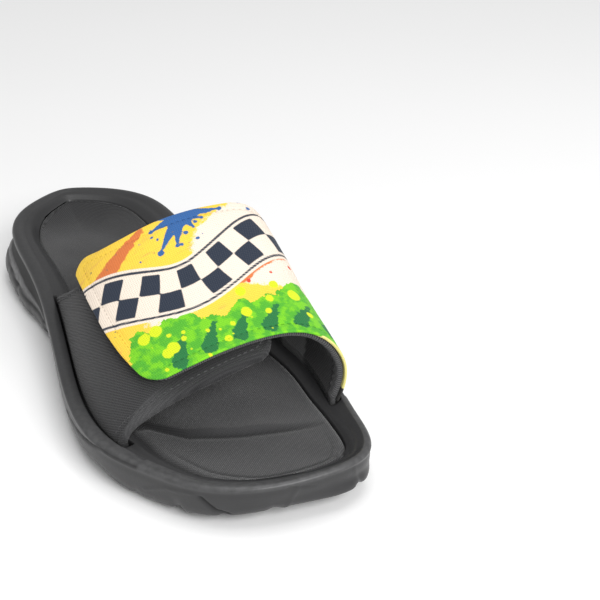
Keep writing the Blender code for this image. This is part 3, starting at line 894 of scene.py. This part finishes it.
# The facet of the heel flare, painted lighter with scuffing and painted highlight: its upper and lower
# line, and where it runs
FACET_TOP = ((0.10, 0.56), (0.156, 0.56), (0.21, 0.56), (0.258, 0.50), (0.32, 0.46), (0.40, 0.46))
FACET_FOOT = ((0.10, 0.50), (0.184, 0.46), (0.24, 0.40), (0.29, 0.38), (0.358, 0.38), (0.40, 0.40))
FACET_RANGE = (0.06, 0.42)
FACET_FADES = (0.06, 0.05)
# How bright the facet's scuffing and painted highlight are on the lateral and on the medial side
FACET_WEAR_AND_HIGHLIGHT = (1.3, 0.3)
# Where the wall ends above the facet, how far it stands in there, and how much
# of the flare is left at the facet's top
BAND_TOP = 0.84
BAND_IN = 0.7
BAND_FLARE = 0.55
# Where the lateral flare draws in before the shank: place, half length, depth
PINCH = (0.335, 0.045, 3.0)
# Where the wall's foot stands in or out at the toe: place, half length, depth.
# Places count from the toe, below 0 on the lateral side.
TOE_FOOT = (
    (-0.325, 0.055, -2.8),
    (0.035, 0.05, 3.0),
)
# How much painted shade the creases of the wall get, for a relief of 1 mm
CREASE_PAINTED_SHADE = 1.6
# Relief of a lug groove at each row of the wall: share inward, share upward
LUG_IN = (1.1, 0.95, 0.4, 0.0, 0.0, 0.0)
LUG_UP = (1.0, 0.45, 0.0, 0.0, 0.0, 0.0)
# Rows of the tread's edge: inset, share of the groove's height
UNDER_ROWS = (
    (LUG_REACH + LUG_END, 0.0),
    (LUG_REACH, 1.0),
    (LUG_REACH * 0.6, 1.0),
    (LUG_REACH * 0.25, 1.0),
)
ROW_STEP = 0.95
# Fall of the inner ledge beside the medial strap foot, where the ledge starts,
# and the length it eases over
LEDGE_FALL = 0.66
LEDGE_START = -60.0
LEDGE_EASE = 30.0


def line_distance(x, y, points):
    """Distance from places to a polyline."""
    best = np.full(np.shape(x), 1e9)
    for (ax, ay), (bx, by) in zip(points[:-1], points[1:]):
        dx, dy = bx - ax, by - ay
        t = np.clip(((x - ax) * dx + (y - ay) * dy) / (dx * dx + dy * dy), 0, 1)
        best = np.minimum(best, np.hypot(x - ax - t * dx, y - ay - t * dy))
    return best


class Rim:
    """The top of the rim: its roll, and the ledge beside the medial strap foot."""

    def __init__(self, ring):
        x = ring.points[:, 0]
        self.top = heights(ring.u)[:, 0]
        self.drop = self.top - edge_height(ring.u, ring.side)
        self.margin = insole_margin(ring.u, ring.side) - SEAT_GAP
        self.walls = np.array([slot_walls(side) for side in ring.side]).T
        self.outer, self.inner = smooth_closed(self.walls.T / self.margin[:, None], 300).T
        end = np.array([seat_range(side)[1] for side in ring.side])
        ledge = ease((end + LEDGE_EASE - x) / LEDGE_EASE) * (ring.side > 0)
        self.ledge = ledge * ease((x - LEDGE_START) / LEDGE_EASE)

    def row(self, across):
        """How far out and how high the rim is, at shares of its width."""
        fall = table(ROLL, across, 1)[:, 0]
        beyond = ease((across - self.outer) / np.maximum(self.inner - self.outer, 0.01))
        run = np.clip((across - self.inner) / (1 - self.inner), 0, 1)
        low = LEDGE_FALL + (1 - LEDGE_FALL) * run ** 2
        fall = fall + (np.maximum(low * 0.92, fall) - fall) * beyond * self.ledge
        return np.column_stack([-across * self.margin, self.top - fall * self.drop])


def wall_rows(ring, rim, base, depth):
    """Rows from the foot of the side wall over the roll to the slot."""
    wall = table(WALL, ring.u, 6)
    out = np.where(wall > 0, wall * FLARE, wall * TUCK)
    rows = []
    for k, share in enumerate(WALL_SHARES):
        z = base + share * (rim.top - base) + LUG_UP[k] * depth
        rows.append(np.column_stack([out[:, k] - LUG_IN[k] * depth, z]))
    for t in np.linspace(0, 1, 12):
        rows.append(rim.row(rim.outer * t))
    return soften(spread_rows(rows, ROW_STEP), 3)


def slot_rows(ring, rim, floor):
    """Rows through the strap slots, or plainly over the rim beside them."""
    hold = slot_hold(ring)[:, None]
    outer, inner = rim.walls
    rows = []
    for k, (across, down) in enumerate(SLOT_PROFILE):
        plain = rim.row(rim.outer + (rim.inner - rim.outer) * (k + 0.5) / len(SLOT_PROFILE))
        z = plain[:, 1] + (floor - plain[:, 1]) * down
        deep = np.column_stack([-(outer + (inner - outer) * across), z])
        rows.append(plain + (deep - plain) * hold)
    for t in np.linspace(0, 1, 12):
        rows.append(rim.row(rim.inner + (1 - rim.inner) * t))
    return rows


def carve_creases(ring, rows, share, outside):
    """The rows with the wall's creases and ridges, and the painted shade in the creases."""
    step = np.gradient(rows, axis=0)
    facing = np.stack([step[..., 1], -step[..., 0]], axis=-1)
    facing /= np.maximum(np.linalg.norm(facing, axis=-1), 1e-6)[..., None]
    dark = np.zeros(share.shape)
    for side, width, relief, line in WALL_LINES:
        points = [(a * SOLE_LENGTH, b * HEEL_RIM_HEIGHT) for a, b in line]
        away = line_distance(ring.fraction * SOLE_LENGTH, share * HEEL_RIM_HEIGHT, points)
        crease = hump(away, width) * (ring.side == side) * outside
        rows = rows + facing * (relief * crease)[..., None]
        if relief < 0:
            # Painted shade: the deeper the crease, the darker it is painted.
            dark = np.maximum(dark, CREASE_PAINTED_SHADE * relief ** 2 * crease)
    return rows, dark


def carve_facet(ring, rows, share, outside):
    """The facet of the flare, carved into the rows: its field of scuffing and painted highlight, and its
    painted shade.
    """
    place, long, depth = PINCH
    pinch = depth * hump(ring.fraction - place, long) * (ring.side < 0)
    rows[..., 0] -= pinch * ease((0.62 - share) / 0.2) * outside
    tip = (1 - ring.fraction) * ring.side
    tuck = sum(depth * hump(tip - place, long) for place, long, depth in TOE_FOOT)
    rows[..., 0] += tuck * ease((0.50 - share) / 0.35) * outside
    top = table(FACET_TOP, ring.fraction, 1)[:, 0]
    foot = table(FACET_FOOT, ring.fraction, 1)[:, 0]
    reach = ease((ring.fraction - FACET_RANGE[0]) / FACET_FADES[0])
    reach = reach * ease((FACET_RANGE[1] - ring.fraction) / FACET_FADES[1]) * outside
    wall = np.count_nonzero(outside)
    at_foot, at_top = [
        np.array([
            np.interp(level[k], share[:wall, k], rows[:wall, k, 0]) for k in range(ring.count)
        ])
        for level in (foot, top)
    ]
    band = np.clip((BAND_TOP - share) / (BAND_TOP - top), 0, 1)
    band = -BAND_IN + (at_top * BAND_FLARE + BAND_IN) * band
    slope = band + (at_foot - band) * np.clip((top - share) / (top - foot), 0, 1)
    held = reach * ease((0.88 - share) / 0.08) * (share >= foot)
    rows[..., 0] += (slope - rows[..., 0]) * held
    upper = (share - top) * HEEL_RIM_HEIGHT
    lower = (share - foot) * HEEL_RIM_HEIGHT
    rows[..., 0] -= 0.5 * hump(lower + 0.9, 0.5) * reach
    facet = ease(-upper / 0.8 + 0.5) * ease(lower / 0.8 + 0.5) * reach
    # Painted shade: dark lines along the facet's top and foot, and a dark band on the wall above it.
    painted_shade = hump(upper - 0.3, 1.0) * 0.7 + hump(lower + 0.9, 0.6) * 0.8
    painted_shade = np.maximum(painted_shade, 0.85 * ease(upper / 0.8) * ease((0.90 - share) / 0.07))
    return facet, painted_shade * reach


def make_sole():
    ring = Ring(520)
    rim = Rim(ring)
    base = bottom_height(ring.u)
    floor = floor_height(ring.u)
    grooves = lug_cut(ring)
    depth = grooves * LUG_GROOVE
    wall = wall_rows(ring, rim, base, depth)
    rows = np.array(list(wall) + slot_rows(ring, rim, floor))
    outside = np.arange(len(rows))[:, None] < len(wall)
    share = (rows[..., 1] - base) / (rim.top - base)
    rows, dark = carve_creases(ring, rows, share, outside)
    facet, painted_shade = carve_facet(ring, rows, share, outside)
    # Painted shade in the lug grooves near the foot of the wall.
    painted_shade = np.maximum(painted_shade, grooves * ease((0.16 - share) / 0.1) * outside)
    under = []
    for inset, lift in UNDER_ROWS:
        under.append(np.column_stack([rows[0, :, 0] - inset, base + lift * depth]))
    last = rows[-1, :, 1]
    seams = [np.column_stack([-rim.margin, last + (floor - last) * t]) for t in (0.5, 1.0)]
    shape = Surface()
    every = under + list(rows) + seams
    index = np.array([shape.add(ring.place(row[:, 0], row[:, 1])) for row in every])
    shape.grid(index, closed=True)
    shape.bridge(ring, index[0], 40, tread_height, True)
    shape.bridge(ring, index[-1], 4, lambda x, y: floor_height(station(x)), False)
    front = ease((ring.u - 0.62) / 0.2)
    # Lighter rim crest, more towards the toe: painted highlight and scuffing. Lighter foot of the wall:
    # scuffing.
    crest_wear_and_highlight = hump(rows[..., 1] - rim.top + 0.6, 1.3) * (0.12 + 0.38 * front) * outside
    edge = hump(rows[..., 1] - base, 1.6) * 0.8
    # Painted highlight with scuffing on the facet, brighter on the lateral side.
    facet_wear_and_highlight = facet * np.where(ring.side < 0, *FACET_WEAR_AND_HIGHLIGHT)
    fields = {"painted_light_and_wear": np.zeros(shape.count), "shade": np.zeros(shape.count)}
    body = index[len(under):len(under) + len(rows)]
    fields["painted_light_and_wear"][body] = np.maximum(np.maximum(crest_wear_and_highlight, edge), facet_wear_and_highlight)
    fields["shade"][body] = np.maximum(painted_shade, dark)
    thing = shape.piece("sole_visual", sole_finish(), fields=fields)
    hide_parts("sole")


def tread_height(x, y):
    """Bottom of the sole: wavy bars with grooves between them."""
    base = bottom_height(station(x))
    bend = 5 * np.sin(y / 9)
    pitch = 13.0
    groove = np.abs(((x + bend) / pitch) % 1.0 - 0.5) * pitch
    cut = ease((groove - (pitch / 2 - 1.9)) / 1.0)
    middle = ease((3.2 - np.abs(y + 2 - 0.02 * x)) / 1.2)
    shank = ease((np.abs(x + 10) - 26) / 8)
    return base + 1.8 * np.maximum(cut * shank, middle * shank)


# Insole

# Radius of its padded edge at the heel and at the toe, and how far it swells out
INSOLE_ROUND = (0.9, 2.4)
INSOLE_SWELL = 0.25
# How far inside its edge the seam of the padded edge runs at the toe
PIPING = 2.6


def toe_share(x, y):
    """0 behind the ball pad's front edge, 1 at the toe."""
    return ease((x - 85 - np.clip(y, 0, 20)) / 20)


def make_insole():
    ring = Ring(330)
    margin = insole_margin(ring.u, ring.side)
    edge = edge_height(ring.u, ring.side)
    small, large = INSOLE_ROUND
    radius = small + (large - small) * ease((ring.u - 0.25) / 0.5)
    rows = [ring.place(INSOLE_SWELL - margin, floor_height(ring.u) + INSOLE_BED)]
    for k in range(7):
        angle = k / 6 * math.pi / 2
        inset = radius * (1 - math.cos(angle)) - INSOLE_SWELL
        rows.append(ring.place(-margin - inset, edge - radius * (1 - math.sin(angle))))
    shape = Surface()
    index = np.array([shape.add(row) for row in rows])
    shape.grid(index, closed=True)
    shape.bridge(ring, index[0], 4, lambda x, y: floor_height(station(x)) + INSOLE_BED, True)

    def from_edge(x, y):
        return nearest(np.column_stack([x, y]), rows[-1][:, :2], 40)

    def top(x, y):
        reach = from_edge(x, y)
        z = insole_top(x, y, reach)
        z = z - 0.35 * hump(reach - PIPING, 0.7) * toe_share(x, y)
        z = z - 0.35 * hump(ball_line(y) - x + 1.0, 1.1) * ease((40 - y) / 20)
        ripple = 0.18 * np.sin(x * 0.21 + 0.9 * np.sin(y * 0.13)) * np.sin(y * 0.17 + 1.2)
        return z + ripple * np.clip(reach / 10, 0, 1)

    shape.bridge(ring, index[-1], 96, top, False)
    x, y, _ = np.concatenate(shape.points).T
    ahead = ball_line(y) - x
    # Painted light: the ball pad under the strap, and the insole more towards the toe.
    pad = ease(ahead / 3) * ease((x - 25) / 30) * ease((y + 45) / 25)
    toe = 0.42 * ease((x + 10) / 90)
    # Painted shade: the ball pad's crease, the strap's cast shadow on the pad's lateral corner, and the
    # seam groove of the padded edge at the toe.
    near = hump(ahead + 0.4, 0.8) * ease((34 - y) / 20)
    painted_strap_shadow = np.clip((y + 8) / -20, 0, 1) * ease((ahead + 1) / 2) * ease((20 - ahead) / 14)
    seam = 0.7 * hump(from_edge(x, y) - PIPING, 0.6) * toe_share(x, y)
    fields = {"painted_light_and_wear": np.maximum(pad, toe), "shade": np.maximum(np.maximum(near, painted_strap_shadow), seam)}
    thing = shape.piece("insole_visual", insole_finish(), fields=fields)
    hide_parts("insole")


# Straps

class Arch:
    """The surface that the straps follow, sampled once.

    A place is 0 at the lateral base and 1 at the medial base; the straight
    feet below the bases have places down to -1 and up to 2.
    """

    def __init__(self):
        self.x = np.arange(-42.0, 106.0, 1.0)
        self.place = np.concatenate([[-1.0], np.linspace(0, 1, 601), [2.0]])
        y, z, lengths = zip(*[self.section(x) for x in self.x])
        self.sheets = (np.array(y), np.array(z))
        self.length = float(np.interp(ARCH_MIDDLE, self.x, lengths))

    def section(self, x):
        u = x / SOLE_LENGTH + 0.5
        crown_y, crown_z, reach_m, full = table(ARCH, u, 4)[0]
        crown = np.array([crown_y * SOLE_WIDTH, crown_z * STRAP_HEIGHT])
        rim = heights(station(x))[0, 0]
        base_l = rim - STRAP_DIP
        base_m = rim + STRAP_CLEAR
        foot_l = -(half_width(x, -1) - SEAT_LATERAL)
        foot_m = half_width(x, 1) - SEAT_MEDIAL - FACE_THICKNESS - LINING_THICKNESS - GAP - STRAP_GAP / 2
        floor = float(floor_height(station(x))[0]) + GAP
        angle = np.linspace(0, math.pi / 2, 400)
        y_l = crown[0] - (crown[0] - foot_l) * np.cos(angle)
        z_l = base_l + (crown[1] - base_l) * np.sin(angle)
        power = 2 / full
        reach = reach_m * SOLE_WIDTH
        y_m = crown[0] + (reach - crown[0]) * np.sin(angle) ** power
        z_m = base_m + (crown[1] - base_m) * np.cos(angle) ** power
        sink = np.clip((z_m - base_m) / (0.5 * (crown[1] - base_m)), 0, 1)
        y_m = y_m + (foot_m - reach) * (1 - sink) ** 2 * (y_m > crown[0])
        y = np.concatenate([y_l, y_m[1:]])
        z = np.concatenate([z_l, z_m[1:]])
        length = running(np.hypot(np.diff(y), np.diff(z)))
        places = self.place[1:-1] * length[-1]
        y = np.interp(places, length, y)
        z = np.interp(places, length, z)
        return np.concatenate([[foot_l], y, [foot_m]]), np.concatenate([[floor], z, [floor]]), length[-1]

    def at(self, x, place):
        """Points of the arch for arrays of x and places."""
        i = cell(self.x, x)
        j = cell(self.place, place)
        s = (x - self.x[i]) / (self.x[i + 1] - self.x[i])
        t = (place - self.place[j]) / (self.place[j + 1] - self.place[j])
        found = [np.asarray(x, float)]
        for sheet in self.sheets:
            low = sheet[i, j] * (1 - t) + sheet[i, j + 1] * t
            high = sheet[i + 1, j] * (1 - t) + sheet[i + 1, j + 1] * t
            found.append(low * (1 - s) + high * s)
        return np.stack(found, axis=-1)

    def normal(self, x, place):
        """Normals of the arch, upward at its crown and outward at the feet."""
        held = np.clip(place, 0.001, 0.999)
        ahead = self.at(x + 1.0, held) - self.at(x - 1.0, held)
        aside = self.at(x, held + 0.006) - self.at(x, held - 0.006)
        normal = np.cross(ahead, aside)
        return normal / np.linalg.norm(normal, axis=-1)[..., None]


ARCH_SURFACE = Arch()


class Strap:
    """Middle surface of a strap as a grid: rows along it, columns rear to front."""

    def __init__(self, edges, end, side, radius, trim=0.0, skew=0.0, columns=120, step=0.62):
        self.edges = edges
        self.end = end
        self.side = side
        self.radius = radius
        self.trim = trim
        self.skew = skew
        base = (1 + side) / 2
        self.span = abs(base - end) * ARCH_SURFACE.length
        free = np.linspace(1.0, self.span, int(self.span / step))[1:]
        free = self.from_end(np.concatenate([np.linspace(0, 1, 5) ** 1.6, free]))
        places = np.concatenate([free, base + side * np.linspace(0, 1, 9)[1:]])
        t = np.linspace(0, 1, columns + 1)
        spread = 0.12 * t + 0.88 * (0.5 - 0.5 * np.cos(t * math.pi))
        self.points, self.along, self.across, self.normal = self.lay(places, spread)
        border = np.concatenate([self.points[:, 0], self.points[0], self.points[:, -1]])
        self.edge = nearest(self.points.reshape(-1, 3), border, 60).reshape(self.along.shape)

    def from_end(self, reach):
        """Places at distances in mm from the free end."""
        return self.end + self.side * reach / ARCH_SURFACE.length

    def lay(self, places, spread, inset=0.0):
        """Points, distances from the free end, places along X and normals."""
        length = ARCH_SURFACE.length
        held = np.clip(places, 0, 1)
        sides = table(self.edges, held, 2)
        x0 = to_x(sides[:, 0]) + self.trim + inset
        x1 = to_x(sides[:, 1]) - self.trim - inset
        radius = max(self.radius - inset, 0.5)
        left = np.abs(places - self.end) * length - inset
        reach = np.clip(radius - left, 0, radius)
        cut = radius - np.sqrt(radius ** 2 - reach ** 2)
        x0 = x0 + cut * REAR_CORNER
        x1 = x1 - cut
        hold = np.maximum(1 - np.abs(places - self.end) / SKEW_FADE, 0)
        x = x0[:, None] + (x1 - x0)[:, None] * spread[None, :]
        place = places[:, None] + self.skew * spread[None, :] * hold[:, None]
        points = ARCH_SURFACE.at(x, place)
        return points, np.abs(place - self.end) * length, x, ARCH_SURFACE.normal(x, place)

    def border_line(self, inset):
        """Line round the rear edge, the free end and the front edge, inset mm in."""
        radius = max(self.radius - inset, 0.5)
        first = inset + radius * (1 - np.cos(np.linspace(0, 1, 24) * math.pi / 2))
        rest = np.linspace(first[-1], self.span, int(self.span))[1:]
        places = self.from_end(np.concatenate([first, rest]))
        points, reach, across, normal = self.lay(places, np.linspace(0, 1, 61), inset)
        cloth = np.stack([reach, across], axis=-1)
        lines = []
        for sheet in (points, normal, cloth):
            lines.append(np.concatenate([sheet[::-1, 0], sheet[0, 1:-1], sheet[:, -1]]))
        return lines

    def sheet(self, middle, half, round_edge, relief_out=0.0, relief_in=0.0):
        """A closed surface round the middle surface, rounded at its free edges."""
        share = 1 - np.clip(self.edge / round_edge, 0, 1)
        full = half * np.sqrt(np.maximum(1 - share ** 2, 0))
        shape = Surface()
        top = shape.add(self.points + self.normal * (middle + full + relief_out)[..., None])
        bottom = shape.add(self.points + self.normal * (middle - full + relief_in)[..., None])
        for side in (np.s_[:, 0], np.s_[:, -1], np.s_[0, :]):
            bottom[side] = top[side]
        shape.grid(top)
        shape.grid(bottom, flip=True)
        shape.quads(top[-1, :-1], top[-1, 1:], bottom[-1, 1:], bottom[-1, :-1])
        cloth = np.column_stack([self.along.ravel(), self.across.ravel()])
        return shape, np.vstack([cloth, cloth])


def stitches(name, border, height, material, pitch=2.9, long=2.1, radius=0.33, fields=None):
    """Thread stitches along a border line, each one a short bowed tube."""
    line, facing, cloth = border
    length = running(np.linalg.norm(np.diff(line, axis=0), axis=1))

    def at(place, values):
        return np.array([np.interp(place, length, column) for column in values.T])

    spots = []
    shape = Surface()
    turns = np.linspace(0, 2 * math.pi, 7)[:-1]
    for start in np.arange(1.0, length[-1] - long - 1, pitch):
        rows = []
        for k in range(6):
            t = k / 5
            place = start + long * t
            here = at(place, line)
            ahead = at(place + 0.2, line) - here
            ahead /= max(np.linalg.norm(ahead), 1e-9)
            up = at(place, facing)
            up /= np.linalg.norm(up)
            side = np.cross(ahead, up)
            centre = here + up * (height + radius * (1.1 * math.sin(t * math.pi) - 0.9))
            size = radius * (0.35 + 0.65 * math.sin(min(max(t, 0.06), 0.94) * math.pi) ** 0.5)
            rows.append([centre + size * (math.cos(a) * side + math.sin(a) * up) for a in turns])
            spots.append(at(place, cloth))
        index = shape.add(np.array(rows))
        shape.grid(index, closed=True, flip=True)
        for end in (index[0][::-1], index[-1]):
            shape.quads(*end[:4])
            shape.quads(end[0], *end[3:])
    cloth = np.repeat(np.array(spots), len(turns), axis=0)
    inks = None if fields is None else fields(cloth[:, 0], cloth[:, 1])
    shape.piece(name, material, cloth=cloth, fields=inks)


def bulge(strap, size, seed):
    """Slow unevenness of cloth over a strap, in mm."""
    rng = np.random.default_rng(seed)
    total = np.zeros(strap.along.shape)
    for _ in range(5):
        fx, fy = rng.uniform(0.04, 0.14, 2)
        px, py = rng.uniform(0, 6.28, 2)
        total += np.sin(strap.along * fx + px) * np.sin(strap.across * fy + py)
    return total * size / 5


def make_lateral_strap():
    strap = Strap(BLACK_EDGES, BLACK_END, -1, CORNER_RADIUS_BLACK, columns=110)
    half = STRAP_LATERAL_THICKNESS / 2
    rim = ease(strap.edge / 0.8)
    hem = 0.35 * ease((3.0 - strap.edge) / 1.0)
    outer = (hem - 0.5 * hump(strap.edge - 2.7, 0.5)) * rim + bulge(strap, 0.35, 3)
    shape, cloth = strap.sheet(-STRAP_GAP / 2 - half, half, 1.9, outer * 0.6, -hem * 0.6 * rim)
    thing = shape.piece("strap_lateral_visual", webbing_finish(), cloth=cloth)
    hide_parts("strap_lateral")
    dark = thread_finish("thread_black", grey(0.05, 0.002))
    stitches("stitches_lateral", strap.border_line(4.6), -STRAP_GAP / 2 + 0.05, dark)


def capsule(u, v, a, b, wide, narrow):
    """Field of a brush stroke from a to b, in mm inside its edge."""
    dx, dy = b[0] - a[0], b[1] - a[1]
    t = np.clip(((u - a[0]) * dx + (v - a[1]) * dy) / (dx * dx + dy * dy), 0, 1)
    away = np.hypot(u - a[0] - t * dx, v - a[1] - t * dy)
    return wide + (narrow - wide) * t - away


def splat(u, v, centre, size, arms, seed):
    """Field of a paint splash: a blob, arms and drops."""
    rng = np.random.default_rng(seed)
    field = size * 0.5 - np.hypot(u - centre[0], v - centre[1])
    for k in range(arms):
        angle = 2 * math.pi * (k + rng.uniform(-0.3, 0.3)) / arms
        reach = size * rng.uniform(0.7, 1.5)
        tip = (centre[0] + reach * math.cos(angle), centre[1] + reach * math.sin(angle))
        field = np.maximum(field, capsule(u, v, centre, tip, size * 0.26, 0.35))
        bead = size * rng.uniform(0.04, 0.13)
        field = np.maximum(field, bead - np.hypot(u - tip[0], v - tip[1]))
    return field


def drops(u, v, box, count, smallest, largest, seed):
    """Field of scattered drops in a box."""
    rng = np.random.default_rng(seed)
    field = np.full(np.shape(u), -9.0)
    for _ in range(count):
        x = rng.uniform(box[0], box[2])
        y = rng.uniform(box[1], box[3])
        size = smallest + (largest - smallest) * rng.uniform() ** 2.2
        field = np.maximum(field, size - np.hypot(u - x, v - y))
    return field


# The checked ribbon of the print: where it runs and how wide it is, in mm
RIBBON_MIDDLE = 37.0
RIBBON_SWING = 12.0
RIBBON_START = 12.0
RIBBON_LENGTH = 112.0
RIBBON_CELL = 9.0
RIBBON_LINES = (10.2, 11.3, 12.5)


def ribbon_fields(u, v):
    """Fields of a two-row checked ribbon: its pale ground and its dark marks."""
    turn = 2 * math.pi / RIBBON_LENGTH

    def slope(u):
        return RIBBON_SWING * turn * np.cos((u - RIBBON_START) * turn)

    off = v - RIBBON_MIDDLE - RIBBON_SWING * np.sin((u - RIBBON_START) * turn)
    u = u + off * slope(u) / (1 + slope(u) ** 2)
    off = off / np.sqrt(1 + slope(u) ** 2)
    steps = np.linspace(-20, 200, 881)
    pace = np.sqrt(1 + slope(steps) ** 2)
    length = running((pace[1:] + pace[:-1]) / 2 * np.diff(steps))
    check = np.interp(u, steps, length) / RIBBON_CELL
    side = np.abs(check - np.round(check)) * RIBBON_CELL
    parity = np.where((np.floor(check) % 2 == 0) == (off > 0), 1.0, -1.0)
    off = np.abs(off)
    check = np.minimum(parity * np.minimum(side, off), RIBBON_CELL - off)
    low, high, pale = RIBBON_LINES
    return pale - off, np.maximum(check, np.minimum(high - off, off - low))


def print_fields(u, v):
    """A generic paint pattern: yellow, pale, blue and green with a checked ribbon.

    u runs from the free end of the strap and v from its rear edge, in mm.
    """
    v = v - to_x(PRINT_EDGES[1][1])

    def strokes(*rows):
        return [capsule(u, v, *row) for row in rows]

    def top(*layers):
        return np.max(layers, axis=0)

    fields = {}
    pale = 34 - np.hypot((u - 92) / 1.35, (v - 36) / 0.75)
    fields["ink_cream"] = top(pale, 7 - np.hypot((u - 30) / 1.6, v - 56))
    fields["ink_orange"] = top(*strokes(
        ((9, 24), (30, 14), 5.0, 1.5),
        ((62, 50), (84, 40), 6.0, 2.0),
        ((112, 12), (132, 24), 5.0, 1.0),
    ))
    blue = top(splat(u, v, (46, 15), 12, 11, 5), splat(u, v, (108, 47), 7.5, 9, 8))
    fields["ink_blue"] = top(blue, drops(u, v, (24, 4, 76, 30), 22, 0.3, 1.0, 4))
    green = v - 62 + 4.5 * np.sin(u / 13 + 0.6) + 2 * np.sin(u / 4.1) + 1.2 * np.sin(u / 1.9 + v / 3)
    fields["ink_green"] = np.minimum(green, 0.7 * (u - 7) + 0.4 * (v - 62))
    tufts = [((x, 80), (x + 8, 70), 3.6, 0.8) for x in range(20, 155, 15)]
    fields["ink_dark_green"] = top(np.full(u.shape, -9.0), *strokes(*tufts))
    fields["ink_lime"] = drops(u, v, (10, 58, 150, 84), 60, 0.4, 3.0, 11)
    red = drops(u, v, (60, 44, 120, 62), 10, 0.3, 1.1, 21)
    fields["ink_red"] = top(red, *strokes(((96, 14), (104, 11), 1.7, 1.2)))
    fields["ink_fleck"] = drops(u, v, (4, 4, 60, 60), 40, 0.15, 0.6, 31)
    fields["ink_line"], fields["ink_navy"] = ribbon_fields(u, v)
    return fields


# Distance from the free end past which the bare cloth edge of the print shows
EDGE_START = 88.0
# Distance from the free end past which the print's foot is bound in black cloth
FOOT_START = 116.5
# The bare label tab sewn to the lining: its rear and front, and where it starts
TAB = (44.0, 62.0, 108.0)


def make_medial_strap():
    face = Strap(PRINT_EDGES, PRINT_END, 1, CORNER_RADIUS_FACE, skew=PRINT_SKEW)
    inner = STRAP_GAP / 2 + LINING_THICKNESS + GAP
    half = FACE_THICKNESS / 2
    groove = -0.22 * hump(face.edge - 4.6, 0.8)
    relief = groove * ease(face.edge / 0.8) + bulge(face, 0.3, 7)
    shape, cloth = face.sheet(inner + half, half, 0.6, relief)
    fields = print_fields(cloth[:, 0], cloth[:, 1])
    border = np.tile(face.edge.ravel(), 2)
    above = np.arange(len(border)) < len(border) // 2
    fields["ink_edge"] = np.where(above, 0.55 - border, 2.0) - 3 * ease((EDGE_START - cloth[:, 0]) / 6)
    fields["ink_foot"] = cloth[:, 0] - FOOT_START
    canvas = print_finish("printed_canvas", INKS + EDGE_INKS)
    thing = shape.piece("strap_print_visual", canvas, cloth=cloth, fields=fields)
    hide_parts("strap_medial_face")
    # The stitches take the print's inks darkened to 0.72: painted shade of the stitch holes.
    stitches(
        "stitches_print", face.border_line(4.6), inner + FACE_THICKNESS - 0.14,
        print_finish("printed_thread", INKS, 0.72), pitch=2.4, long=1.5, radius=0.2, fields=print_fields,
    )

    short = PRINT_END + LINING_SHORTER / ARCH_SURFACE.length
    lining = Strap(
        PRINT_EDGES, short, 1, CORNER_RADIUS_FACE,
        trim=LINING_SHORTER, skew=PRINT_SKEW, columns=100, step=0.8,
    )
    half = (LINING_THICKNESS + GAP) / 2
    groove = 0.3 * hump(lining.edge - 4.0, 0.7)
    shape, cloth = lining.sheet(STRAP_GAP / 2 + half, half, 1.3, 0.0, groove * ease(lining.edge))
    tab = np.minimum(cloth[:, 1] - TAB[0], TAB[1] - cloth[:, 1])
    tab = np.minimum(tab, cloth[:, 0] - TAB[2])
    binding = ease((4.0 - np.tile(lining.edge.ravel(), 2)) / 0.5)
    fields = {"tab": ease(tab / 0.8 + 0.5), "binding": binding}
    thing = shape.piece("strap_lining_visual", lining_finish(), cloth=cloth, fields=fields)
    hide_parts("strap_medial_lining")
    line, facing, cloth = lining.border_line(4.0)
    dark = thread_finish("thread_lining", grey(0.07, 0.002))
    stitches("stitches_lining", (line, -facing, cloth), -STRAP_GAP / 2 - 0.05, dark)


# Stage, lights and camera

# Half the side of the square floor, and how far it lies under the sole
FLOOR_REACH = 2500.0
FLOOR_DROP = 0.2
# Lamps: name, place, target, width and length, power
LAMPS = (
    ("lamp_top", (0, 100, 2600), (0, 0, 20), (1900, 1900), 27),
    ("lamp_key", (850, 60, 600), (60, 0, 20), (600, 400), 8),
)
SKY_STRENGTH = 0.44
# Camera: place, target, roll in degrees, and focal length in widths of the frame
CAMERA_PLACE = (454.69, -148.0, 285.39)
CAMERA_TARGET = (-15.15, 84.2, 0.0)
CAMERA_ROLL = 1.08
CAMERA_FOCUS = 1199.32 / 600


def make_stage():
    edge = np.linspace(-FLOOR_REACH, FLOOR_REACH, 21)
    x, y = np.meshgrid(edge, edge, indexing="ij")
    shape = Surface()
    shape.grid(shape.add(np.stack([x, y, np.full(x.shape, -FLOOR_DROP)], axis=-1) - FRAME))
    thing = shape.thing("floor", floor_finish())


def aim(thing, place, target, roll=0.0):
    """Put a lamp or camera at place and turn it to target, both in mm."""
    place = Vector(place) * MM
    target = Vector(target) * MM
    forward = (target - place).normalized()
    level = forward.cross(Vector((0, 0, 1))).normalized()
    top = level.cross(forward)
    right = level * math.cos(roll) - top * math.sin(roll)
    up = right.cross(forward)
    turn = Matrix((right, up, -forward)).transposed().to_4x4()
    thing.matrix_world = Matrix.Translation(place) @ turn


def make_lights():
    world = bpy.data.worlds.new("studio")
    world.use_nodes = True
    back = world.node_tree.nodes["Background"]
    back.inputs["Color"].default_value = (1, 1, 1, 1)
    back.inputs["Strength"].default_value = SKY_STRENGTH
    bpy.context.scene.world = world
    for name, place, target, size, power in LAMPS:
        data = bpy.data.lights.new(name, "AREA")
        data.shape = "RECTANGLE"
        data.size, data.size_y = [side * MM for side in size]
        data.energy = power
        aim(show(name, data), place, target)


def make_camera():
    data = bpy.data.cameras.new("camera")
    data.sensor_width = 36
    data.lens = data.sensor_width * CAMERA_FOCUS
    data.clip_start = 0.01
    thing = show("camera", data)
    aim(thing, CAMERA_PLACE, CAMERA_TARGET, math.radians(CAMERA_ROLL))
    bpy.context.scene.camera = thing


make_sole()
make_insole()
make_lateral_strap()
make_medial_strap()
make_stage()
make_lights()
make_camera()
bpy.context.scene.view_settings.view_transform = "Standard"
